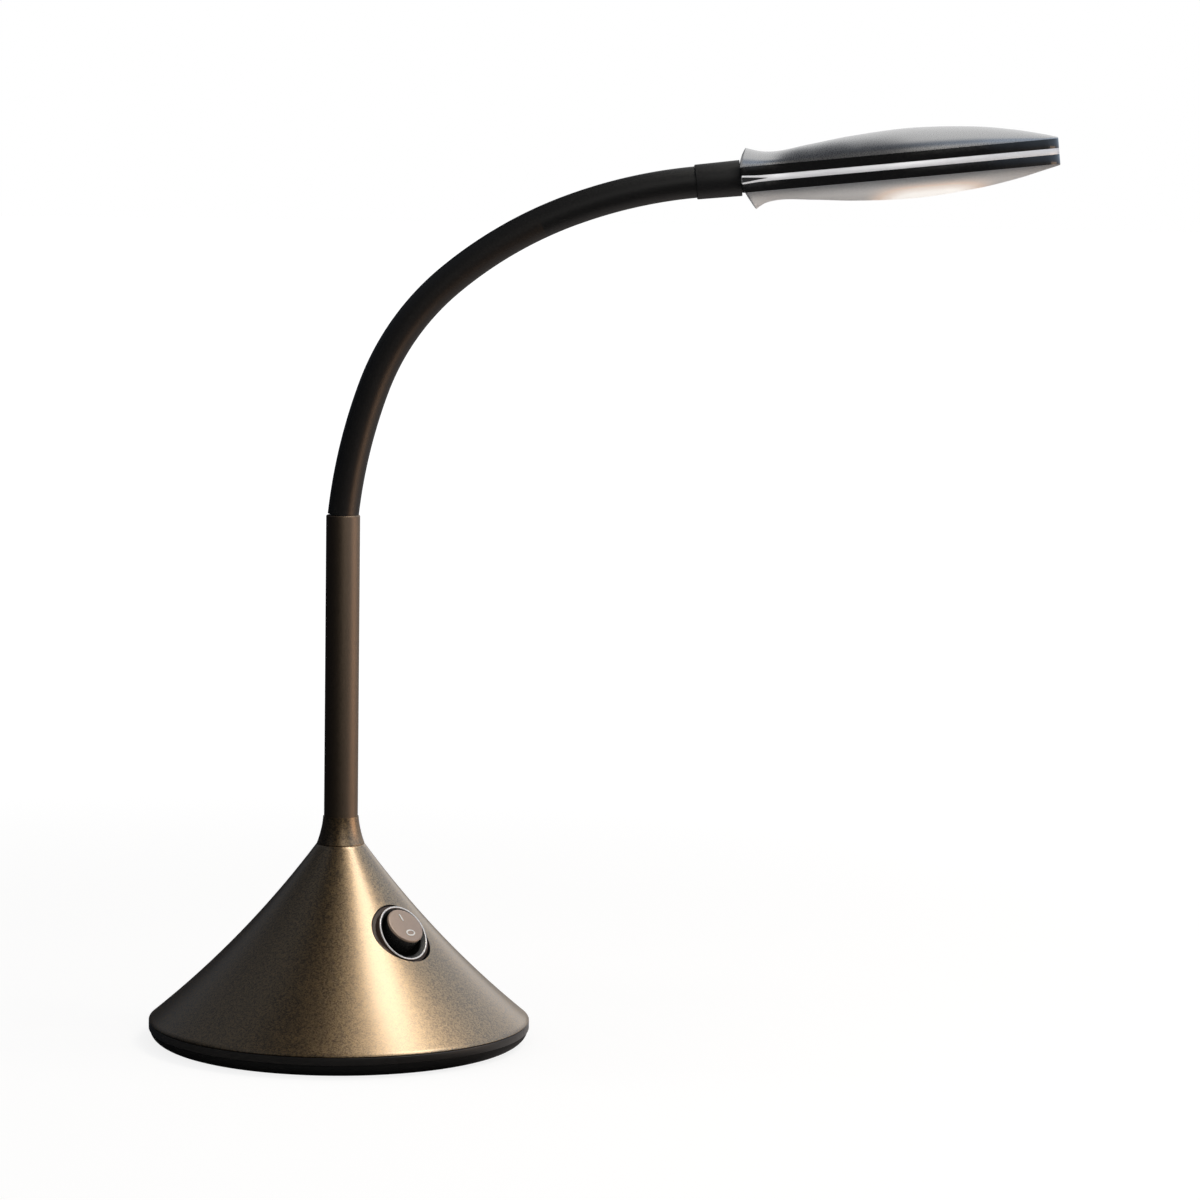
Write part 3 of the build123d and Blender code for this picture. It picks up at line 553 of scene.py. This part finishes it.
# Driver. A small green circuit board with a coil, a capacitor and a chip, and a terminal block
# of pale nylon. Its wires are black and red PVC.
board_green = finish("solder_mask", (0.01, 0.09, 0.035), (0.02, 0.15, 0.06), 0.3, grain=260.0, depth=0.00001)
component = finish("component_body", (0.014, 0.014, 0.016), (0.035, 0.035, 0.04), 0.5, grain=700.0)
nylon = finish("pale_nylon", (0.55, 0.54, 0.5), (0.66, 0.65, 0.61), 0.5, grain=600.0)
black_wire = finish("black_wire", (0.012, 0.012, 0.013), (0.03, 0.03, 0.03), 0.35, grain=500.0)
red_wire = finish("red_wire", (0.3, 0.012, 0.01), (0.42, 0.025, 0.018), 0.35, grain=500.0)
coat(board_green, "driver_board")
coat(component, "driver_parts")
coat(nylon, "terminal_block")
coat(black_wire, "supply_leads", "switch_leads")
coat(red_wire, "stem_leads", "head_leads")

# Switch housing. A brown bezel with a black dish inside it, moulded in one with a barrel that
# clips into the cone.
bezel_brown = finish(
    "bezel_brown", (0.055, 0.034, 0.024), (0.085, 0.054, 0.039), 0.4, grain=900.0,
    sockets={"Specular IOR Level": 0.3},
)
bezel_radius, bezel_top, cavity_radius = 11.4, 0.3, 9.4
barrel_floor, barrel_end, crown_width, dish_drop, brown_width = -18.4, -20.0, 0.5, 1.1, 0.6
bm = outline(
    [
        (0, barrel_floor),
        (cavity_radius, barrel_floor),
        (cavity_radius, -seat_depth),
        (cavity_radius, bezel_top - dish_drop),
        (bezel_radius - crown_width, bezel_top),
        (bezel_radius, bezel_top),
        (bezel_radius, -seat_depth),
        (barrel_radius, -seat_depth),
        (barrel_radius, barrel_end),
        (0, barrel_end),
    ],
    closed=False,
)
turn(bm, 128)
round_rings(bm, [(bezel_radius, bezel_top)], 0.4, 5)
bm.transform(switch_frame)
housing = piece(bm, "bezel_and_barrel", bezel_brown, "bronze_plastic", "base", "switch_housing")
housing.data.materials.append(black_and_painted_shade)
for face in housing.data.polygons:
    spot = (to_seat @ face.center) * 1000
    if math.hypot(spot.x, spot.y) < bezel_radius - brown_width:
        face.material_index = 1

# Packing ring. A brown moulded ring that fills the seat round the bezel and follows the cone's
# side, a little below it. A thin dark gap is left round its outside.
packing_gap, packing_top, packing_inset, packing_bore = 0.55, -0.4, 0.3, bezel_radius + 0.02
packing = loose(drum(seat_radius - packing_gap, -seat_depth, packing_top, switch_frame), "packing")
carve(packing, under_side(packing_inset), "INTERSECT")
carve(packing, loose(drum(packing_bore, seat_low, cut_reach, switch_frame), "bezel_cut"), "DIFFERENCE")
bm = bmesh.new()
bm.from_mesh(packing.data)
bpy.data.objects.remove(packing)
piece(bm, "packing_ring", bezel_brown, "bronze_plastic", "base")

# Bezel's bright edge. A thin ring over the crown of the bezel, rounded on top.
# Its warm silver, nearly white, is a painted highlight along the crown.
highlight_ring_paint = finish("bezel_highlight_paint", (0.82, 0.76, 0.7), (0.92, 0.86, 0.8), 0.28, metal=0.6, grain=1800.0)
edge_inside, edge_outside, edge_low, edge_high = 10.75, 11.42, bezel_top - 0.2, bezel_top + 0.22
bm = outline(
    [(edge_inside, edge_low), (edge_outside, edge_low), (edge_outside, edge_high), (edge_inside, edge_high)]
)
turn(bm, 128)
round_rings(bm, [(edge_outside, edge_high), (edge_inside, edge_high)], 0.18, 4)
bm.transform(switch_frame)
piece(bm, "bezel_highlight_ring", highlight_ring_paint, "bright_aluminium", "base")

# Contacts. Brass blades through the barrel's floor and a brass strip that rocks on the middle
# one, pushed by a sprung pin in the rocker.
brass = finish("contact_brass", (0.52, 0.36, 0.14), (0.72, 0.53, 0.24), 0.28, metal=1.0, grain=1500.0)
coat(brass, "switch_terminals", "contact_strip")
coat(zinc, "plunger_spring")

# Rocker. A black barrel with a bronze-brown face plate, its upper half pressed in.
# The marks on the face are white print: a bar for on and a ring for off.
pivot_depth, rocker_tilt = 6.2, math.radians(-12)
rocker_radius, rocker_foot, plate_bottom, rocker_top = 7.8, -3.4, 8.7, 9.6
rocker_pivot = switch_frame @ Matrix.Translation((0, 0, -pivot_depth / 1000))
rocker_frame = rocker_pivot @ Matrix.Rotation(rocker_tilt, 4, "X")
rocker_black = finish("rocker_black", (0.008, 0.008, 0.008), (0.014, 0.014, 0.014), 0.3, grain=1200.0)
rocker_bronze = finish(
    "rocker_bronze", (0.38, 0.28, 0.21), (0.48, 0.36, 0.28), 0.35, metal=0.35, grain=1600.0,
    sockets={"Coat Weight": 0.4},
)
print_white = finish("white_print", (0.85, 0.84, 0.81), (0.95, 0.94, 0.92), 0.4, grain=2000.0)
bm = drum(rocker_radius, rocker_foot, plate_bottom, Matrix(), 96)
round_rings(bm, [(rocker_radius, rocker_foot)], 0.5, 3)
bm.transform(rocker_frame)
piece(bm, "rocker_barrel", rocker_black, "black_plastic", "rocker", "rocker")
bm = drum(rocker_radius, plate_bottom, rocker_top, Matrix(), 96)
round_rings(bm, [(rocker_radius, rocker_top)], 0.55, 5)
bm.transform(rocker_frame)
piece(bm, "rocker_plate", rocker_bronze, "bronze_plastic", "rocker", "rocker_face")
coat(print_white, "rocker_marks")
coat(rocker_black, "switch_plunger")

# Collar. A turned ring, lacquered like the cone, that flares down from the stem and stands on
# the cone's top. The stem sits in a socket in it, and its foot has a small rounded edge.
collar_foot, collar_top, collar_sag = cone_top, (6.95, 89.5), 0.4
stem_radius, stem_foot = 6.65, 84.5
bm = outline(
    [
        collar_foot,
        collar_top,
        (stem_radius, collar_top[1]),
        (stem_radius, stem_foot),
        (stem_hole, stem_foot),
        (stem_hole, collar_foot[1]),
    ]
)
sag_between(bm, collar_foot, collar_top, collar_sag, 15)
turn(bm, 128)
round_rings(bm, [collar_foot], 0.3, 3)
piece(bm, "stem_collar", lacquer, "bronze", "base", "collar")

# Stem. A steel tube in a lacquer that is browner and finer than the cone's. Its bore narrows at
# the foot, round the threaded nipple.
stem_top, stem_bore, nipple_top = 208.3, 5.45, 100.8
stem_lacquer = finish(
    "stem_lacquer", (0.2, 0.145, 0.1), (0.3, 0.225, 0.16), 0.5, metal=1.0, grain=1900.0, spread=0.08,
    sockets={"Coat Weight": 0.15, "Coat Roughness": 0.4},
)
bm = outline(
    [
        (stem_radius, stem_foot),
        (stem_radius, stem_top),
        (stem_bore, stem_top),
        (stem_bore, nipple_top),
        (stem_hole, nipple_top),
        (stem_hole, stem_foot),
    ]
)
turn(bm, 96)
round_rings(bm, [(stem_radius, stem_top)], 0.5, 5)
piece(bm, "stem_pipe", stem_lacquer, "bronze", "base", "stem_tube")

# Neck. A stiff metal hose in a smooth black rubber skin, which bends evenly. The skin is made in
# ten lengths, each curved along the neck across one of its joints, and their ends meet in the links.
neck_start = 6.0  # degrees from upright
neck_arcs = [(51.5, 14.0), (51.5, 29.5), (54.5, 19.5), (50.0, 15.0)]  # length in mm, bend in degrees
neck_links, neck_radius, rings_per_link, into_ferrule, bend_share = 10, 6.1, 15, 6.0, 0.96
link_length = sum(length for length, lean in neck_arcs) / neck_links
neck_rubber = finish(
    "neck_rubber", (0.006, 0.006, 0.006), (0.012, 0.0115, 0.011), 0.42, grain=1700.0,
    sockets={"Specular IOR Level": 0.45},
)
hose = finish("steel_hose", (0.3, 0.3, 0.3), (0.5, 0.5, 0.5), 0.35, metal=1.0, grain=1500.0)


def neck_frame(distance):
    """Place and heading of the neck at a distance in mm from the stem's top, Z along the neck."""
    spot, heading, left = Vector((0, 0, stem_top)), neck_start, distance
    for length, lean in neck_arcs:
        step = min(left, length)
        bend = lean * step / length
        chord = 2 * length / math.radians(lean) * math.sin(math.radians(bend / 2))
        middle = math.radians(heading + bend / 2)
        spot += chord * Vector((math.sin(middle), 0, math.cos(middle)))
        heading, left = heading + bend, left - step
    return Matrix.Translation(spot / 1000) @ Matrix.Rotation(math.radians(heading), 4, "Y")


def tube_rings(bm, frames, radius, steps=48):
    """Bridges circles of one radius into a tube with closed ends."""
    before = None
    for count, place in enumerate(frames):
        ring = bmesh.ops.create_circle(bm, segments=steps, radius=radius / 1000, matrix=place)["verts"]
        edges = list({edge for vert in ring for edge in vert.link_edges})
        if before:
            bmesh.ops.bridge_loops(bm, edges=before + edges)
        if count in (0, len(frames) - 1):
            bmesh.ops.contextual_create(bm, geom=edges)
        before = edges
    bmesh.ops.recalc_face_normals(bm, faces=bm.faces)


for k in range(neck_links):
    start, end = k * link_length, (k + 1) * link_length
    if k == neck_links - 1:
        end += into_ferrule
    bm = bmesh.new()
    frames = []
    for i in range(rings_per_link):
        distance = start + (end - start) * i / (rings_per_link - 1)
        over = distance - neck_links * link_length
        place = neck_frame(min(distance, neck_links * link_length))
        if over > 0:
            place = place @ Matrix.Translation((0, 0, over / 1000))
        frames.append(place)
    tube_rings(bm, frames, neck_radius)
    covered = [f"neck_sleeve_{k:02d}"] + (["neck_sleeve_10"] if k == neck_links - 1 else [])
    skin = piece(bm, f"neck_skin_{k:02d}", neck_rubber, "rubber", None, *covered)
    middle = (k + 0.5) * link_length
    reach = bend_share / 2 * link_length
    tuple(neck_frame(middle - reach).translation)
    tuple(neck_frame(middle + reach).translation)
    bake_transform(skin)
    coat(hose, f"neck_core_{k:02d}")
coat(hose, "neck_core_10")

# Ferrule. A tapered sleeve of black plastic, moulded over the neck's end. Its spigot is fixed in
# the head's tail, and the wires run through its bore.
head_angle = math.radians(neck_start + sum(lean for length, lean in neck_arcs))
ferrule_length, ferrule_start_radius, ferrule_end_radius = 17.5, 6.75, 7.0
spigot_radius, spigot_length, wire_bore, neck_stop, neck_squeeze = 3.4, 8.0, 1.8, -9.0, 0.4
ferrule_end = neck_frame(neck_links * link_length) @ Vector((0, 0, ferrule_length / 1000))
ferrule_frame = Matrix.Translation(ferrule_end) @ Matrix.Rotation(head_angle, 4, "Y")
ferrule_black = finish("ferrule_black", (0.008, 0.008, 0.008), (0.015, 0.015, 0.015), 0.45, grain=1300.0)
bore = neck_radius - neck_squeeze
bm = outline(
    [
        (bore, -ferrule_length),
        (ferrule_start_radius, -ferrule_length),
        (ferrule_end_radius, 0.0),
        (spigot_radius, 0.0),
        (spigot_radius, spigot_length),
        (wire_bore, spigot_length),
        (wire_bore, neck_stop),
        (bore, neck_stop),
    ]
)
turn(bm, 96)
round_rings(bm, [(ferrule_start_radius, -ferrule_length)], 0.35, 4)
bm.transform(ferrule_frame)
piece(bm, "ferrule_sleeve", ferrule_black, "black_plastic", "head", "neck_ferrule")

# Head. Two thin shells clamp a black frame and an aluminium plate. Seen from above it is a leaf:
# flared at the tail, pinched, widest past the middle and blunt at the tip.
head_drop = 0.8
head_tail = ferrule_end + head_drop / 1000 * Vector((math.cos(head_angle), 0, -math.sin(head_angle)))
head_frame = Matrix.Translation(head_tail) @ Matrix.Rotation(head_angle - math.pi / 2, 4, "Y")
leaf_length, tip_corner, band_half, stripe_half = 123.4, 5.0, 4.9, 1.2
# Each station has its distance from the tail, half the width, and the shells' heights, in mm.
leaf = [
    (0.0, 15.0, 7.3, 6.8),
    (13.0, 12.4, 5.0, 4.1),
    (27.0, 14.4, 6.4, 5.2),
    (44.0, 17.8, 8.2, 7.1),
    (67.0, 20.8, 9.2, 8.2),
    (91.0, 18.8, 7.6, 6.6),
    (107.0, 14.8, 4.9, 4.2),
    (118.0, 11.0, 2.2, 1.8),
    (123.4, 8.8, 0.6, 0.6),
]


def along_leaf(x, column):
    """A size of the leaf at x, on a smooth curve through its stations."""
    marks = [(row[0], row[column]) for row in leaf]
    slopes = []
    for i in range(len(marks)):
        low, high = marks[max(i - 1, 0)], marks[min(i + 1, len(marks) - 1)]
        slopes.append((high[1] - low[1]) / (high[0] - low[0]))
    i = max(j for j in range(len(marks) - 1) if marks[j][0] <= x)
    (x0, y0), (x1, y1) = marks[i], marks[i + 1]
    span = x1 - x0
    t = (x - x0) / span
    return (
        y0 * (1 + 2 * t) * (1 - t) ** 2
        + slopes[i] * span * t * (1 - t) ** 2
        + y1 * t * t * (3 - 2 * t)
        + slopes[i + 1] * span * t * t * (t - 1)
    )


def half_width(x):
    """Half the leaf's width at x, with the tip's corners rounded."""
    width = along_leaf(x, 1)
    past = x - (leaf_length - tip_corner)
    if past > 0:
        width -= tip_corner - math.sqrt(max(tip_corner**2 - past**2, 0.0))
    return width


def leaf_marks(count=72):
    """Distances from tail to tip, closer together at the tip's corners."""
    straight = [(leaf_length - tip_corner) * i / count for i in range(count)]
    corner = [leaf_length - tip_corner + tip_corner * math.sin(math.radians(9 * i)) for i in range(11)]
    return straight + corner


def leaf_shell(bm, column, up, lean):
    """Bridges ellipses along the leaf, keeps the half beyond the band and leans its tail end."""
    lean_reach = 9.0
    marks = leaf_marks()
    before = None
    for x in marks:
        across, high = half_width(x), along_leaf(x, column)
        place = Matrix(((0, 0, 1, x), (across, 0, 0, 0), (0, high, 0, up * band_half), (0, 0, 0, 1)))
        ring = bmesh.ops.create_circle(bm, segments=96, radius=1.0, matrix=place)["verts"]
        edges = list({edge for vert in ring for edge in vert.link_edges})
        if before:
            bmesh.ops.bridge_loops(bm, edges=before + edges)
        if x in (marks[0], marks[-1]):
            bmesh.ops.contextual_create(bm, geom=edges)
        before = edges
    cut = bmesh.ops.bisect_plane(
        bm,
        geom=bm.verts[:] + bm.edges[:] + bm.faces[:],
        plane_co=(0, 0, up * band_half),
        plane_no=(0, 0, up),
        clear_inner=True,
        dist=1e-5,
    )
    rim = [edge for edge in cut["geom_cut"] if isinstance(edge, bmesh.types.BMEdge)]
    bmesh.ops.contextual_create(bm, geom=rim)
    for vert in bm.verts:
        share = max(1.0 - vert.co.x / lean_reach, 0.0)
        vert.co.x += lean(abs(vert.co.z) - band_half) * share
    bmesh.ops.recalc_face_normals(bm, faces=bm.faces)
    bm.transform(head_frame @ Matrix.Scale(0.001, 4))


silver = finish(
    "satin_silver", (0.4, 0.4, 0.4), (0.56, 0.56, 0.56), 0.29, metal=0.85, grain=2600.0,
    depth=0.000002, spread=0.05, sockets={"Coat Weight": 0.2},
)


def top_lean(depth):
    """How far the top shell's tail end leans forwards, at a height in mm above the band."""
    return 0.5 + 2.6 * (max(depth, 0.0) / 7.6) ** 1.8


bm = bmesh.new()
leaf_shell(bm, 2, 1, top_lean)
piece(bm, "top_cover", silver, "silver", "head", "top_shell", sharp=45.0)

# Frame bands. Two rings of gloss black plastic, above and below the plate, with crisp edges.
# The shells clamp them against the plate.
gloss_black = finish(
    "gloss_black", (0.009, 0.009, 0.009), (0.013, 0.013, 0.013), 0.16, grain=800.0, depth=0.000004,
    sockets={"Coat Weight": 0.5},
)


def leaf_layer(bm, low, high, inset):
    """A flat layer of the leaf's plan between two heights, with its edge set in."""
    side = [(min(x, leaf_length - inset), half_width(x) - inset) for x in leaf_marks()]
    round_trip = [(x, -y) for x, y in side] + [(x, y) for x, y in reversed(side)]
    face = bm.faces.new([bm.verts.new((x, y, low)) for x, y in round_trip])
    raised = bmesh.ops.extrude_face_region(bm, geom=[face])
    tops = [v for v in raised["geom"] if isinstance(v, bmesh.types.BMVert)]
    bmesh.ops.translate(bm, verts=tops, vec=(0, 0, high - low))
    bmesh.ops.recalc_face_normals(bm, faces=bm.faces)
    corner, rounding = math.radians(68.75), 0.12
    rims = [e for e in bm.edges if len(e.link_faces) == 2 and e.calc_face_angle(0.0) > corner]
    bmesh.ops.bevel(bm, geom=rims, offset=rounding, segments=2, affect="EDGES", profile=0.5, material=-1)


for name, low, high in (("upper_band", stripe_half, band_half), ("lower_band", -band_half, -stripe_half)):
    bm = bmesh.new()
    leaf_layer(bm, low, high, 0.0)
    bm.transform(head_frame @ Matrix.Scale(0.001, 4))
    piece(bm, f"{name}_ring", gloss_black, "gloss_black", "head", name, sharp=25.0)

# Heat plate. Bright aluminium that carries the LEDs. Its edge is the silver stripe, and at the
# tail it flares over the bands with a notch in its end.
aluminium = finish(
    "bright_aluminium", (0.86, 0.86, 0.87), (0.93, 0.93, 0.94), 0.4, metal=0.25, grain=900.0, depth=0.000002
)
flare_length, flare_up, flare_out, plate_inset = 14.0, 0.4, 0.02, 0.1
bm = bmesh.new()
leaf_layer(bm, -stripe_half, stripe_half, plate_inset)
for vert in bm.verts:
    share = max(1.0 - vert.co.x / flare_length, 0.0) ** 2
    vert.co.z *= 1 + flare_up * share
    vert.co.y *= 1 + flare_out * share
plate = loose(bm, "plate")
# Each end of a notch has its place along the head, its place to the side and half its height.
notch_mouth, notch_point, notch_width = (-1.0, 15.2, 1.15), (10.0, 13.0, 0.02), 2.4
painted_shade_length, bright_edge = 9.5, 0.3
bm = bmesh.new()
for sign in (-1, 1):
    wedge = bmesh.ops.create_cube(bm, size=1.0)["verts"]
    for vert in wedge:
        along, aside, half = notch_mouth if vert.co.x < 0 else notch_point
        vert.co = Vector((along, sign * aside + vert.co.y * notch_width, vert.co.z * 2 * half))
carve(plate, loose(bm, "notch_cut"), "DIFFERENCE")
# Painted shade: over the tail, the notch's inside and the faces set in from the rim are painted near black.
for face in plate.data.polygons:
    spot = face.center
    if 0.0 < spot.x < painted_shade_length and half_width(spot.x) - abs(spot.y) > bright_edge:
        face.material_index = 1
bm = bmesh.new()
bm.from_mesh(plate.data)
bpy.data.objects.remove(plate)
bm.transform(head_frame @ Matrix.Scale(0.001, 4))
stripe = piece(bm, "plate_with_stripe", aluminium, "bright_aluminium", "head", "heat_plate", sharp=25.0)
stripe.data.materials.append(black_and_painted_shade)

# Diffuser. A frosted shell, moulded thin, that spreads the light downwards.
# It glows warm white along its belly and fades to plain frosted grey towards both ends.
# Each stretch of the glow has where it starts and where it is full, in metres from the tail.
glow_at_tail, glow_at_tip, glow_below = (0.045, 0.066), (0.1, 0.079), (-0.0062, -0.0135)
frosted = bpy.data.materials.new("frosted_shell")
frosted.use_nodes = True
tree = frosted.node_tree
shader = tree.nodes["Principled BSDF"]
where = add(tree, "ShaderNodeTexCoord")
local = add(
    tree,
    "ShaderNodeMapping",
    {
        "Vector": where.outputs["Object"],
        "Location": tuple(head_tail),
        "Rotation": (0.0, head_angle - math.pi / 2, 0.0),
    },
    vector_type="TEXTURE",
)
axis = add(tree, "ShaderNodeSeparateXYZ", {0: local.outputs[0]}).outputs
along = times(
    tree, smooth_step(tree, axis["X"], *glow_at_tail), smooth_step(tree, axis["X"], *glow_at_tip)
)
power = times(tree, along, smooth_step(tree, axis["Z"], *glow_below))
warmth = add(tree, "ShaderNodeValToRGB", {0: power})
warmth.color_ramp.elements[0].color = (0.0, 0.0, 0.0, 1.0)
warmth.color_ramp.elements[1].position = 0.75
warmth.color_ramp.elements[1].color = (0.9, 0.86, 0.8, 1.0)
warm = warmth.color_ramp.elements.new(0.25)
warm.color = (0.42, 0.24, 0.13, 1.0)
frost = add(tree, "ShaderNodeTexNoise", {"Vector": where.outputs["Object"], "Scale": 1500.0, "Detail": 3.0})
# Painted shade: the frosted grey is darker next to the band and lighter further down.
painted_shade_by_depth = add(
    tree,
    "ShaderNodeMapRange",
    {0: axis["Z"], "From Min": -0.0045, "From Max": -0.0095, "To Min": -0.1, "To Max": 0.8},
    interpolation_type="SMOOTHSTEP",
)
frost_and_painted_shade = add(
    tree,
    "ShaderNodeMath",
    {0: frost.outputs[0], 1: 0.25, 2: painted_shade_by_depth.outputs[0]},
    operation="MULTIPLY_ADD",
)
tone = mixed(tree, frost_and_painted_shade.outputs[0], (0.24, 0.24, 0.245, 1.0), (0.82, 0.82, 0.82, 1.0))
bump = add(tree, "ShaderNodeBump", {"Height": frost.outputs[0], "Strength": 0.3, "Distance": 0.00002})
gloss = add(tree, "ShaderNodeMapRange", {0: frost.outputs[0], "To Min": 0.36, "To Max": 0.48})
tree.links.new(tone, shader.inputs["Base Color"])
tree.links.new(bump.outputs[0], shader.inputs["Normal"])
tree.links.new(warmth.outputs[0], shader.inputs["Emission Color"])
tree.links.new(gloss.outputs[0], shader.inputs["Roughness"])
shader.inputs["Emission Strength"].default_value = 0.6


def diffuser_lean(depth):
    """How far the diffuser's tail end leans forwards, at a depth in mm below the band."""
    return 1.5 + 3.6 * max(depth, 0.0) / 7.2


bm = bmesh.new()
leaf_shell(bm, 3, -1, diffuser_lean)
piece(bm, "frosted_cover", frosted, "frosted", "head", "diffuser", sharp=45.0)

# LED board. A white circuit board screwed under the plate, with rows of yellow LEDs.
# The diffuser hides it.
board_white = finish("white_board", (0.78, 0.78, 0.76), (0.88, 0.88, 0.86), 0.35, grain=300.0)
led_yellow = finish("led_phosphor", (0.8, 0.6, 0.12), (0.9, 0.72, 0.22), 0.3, grain=2500.0)
coat(board_white, "led_board")
coat(led_yellow, "led_chips")

# Flags of the lights. The top box is kept off the head's shells, so no hot spot lies on them.
# A box in front lights only the bright edges: the plate's stripe and the bezel's line. A warm
# box, low on the right, gives the lower neck its brown side.
head_pieces = {"top_cover", "upper_band_ring", "lower_band_ring", "plate_with_stripe", "frosted_cover"}
below_head = bpy.data.collections.new("below_head")
for made in bpy.context.scene.objects:
    if made.type == "MESH" and made.name not in head_pieces:
        below_head.objects.link(made)
top_box.light_linking.receiver_collection = below_head
edge_box = soft_box("edge_box", (0.1, -1.3, 0.6), (0.2, 0.0, 0.3), 0.6, 0.6, 4.0, (1.0, 1.0, 1.0))
bright_edges = bpy.data.collections.new("bright_edges")
for name in ("plate_with_stripe", "bezel_highlight_ring"):
    bright_edges.objects.link(bpy.data.objects[name])
edge_box.light_linking.receiver_collection = bright_edges
warm_box = soft_box("warm_box", (0.55, -0.3, 0.08), (0.0, 0.0, 0.25), 0.3, 0.3, 1.3, (1.0, 0.56, 0.3))
low_neck, warm_lengths = bpy.data.collections.new("low_neck"), 7
for k in range(warm_lengths):
    low_neck.objects.link(bpy.data.objects[f"neck_skin_{k:02d}"])
warm_box.light_linking.receiver_collection = low_neck
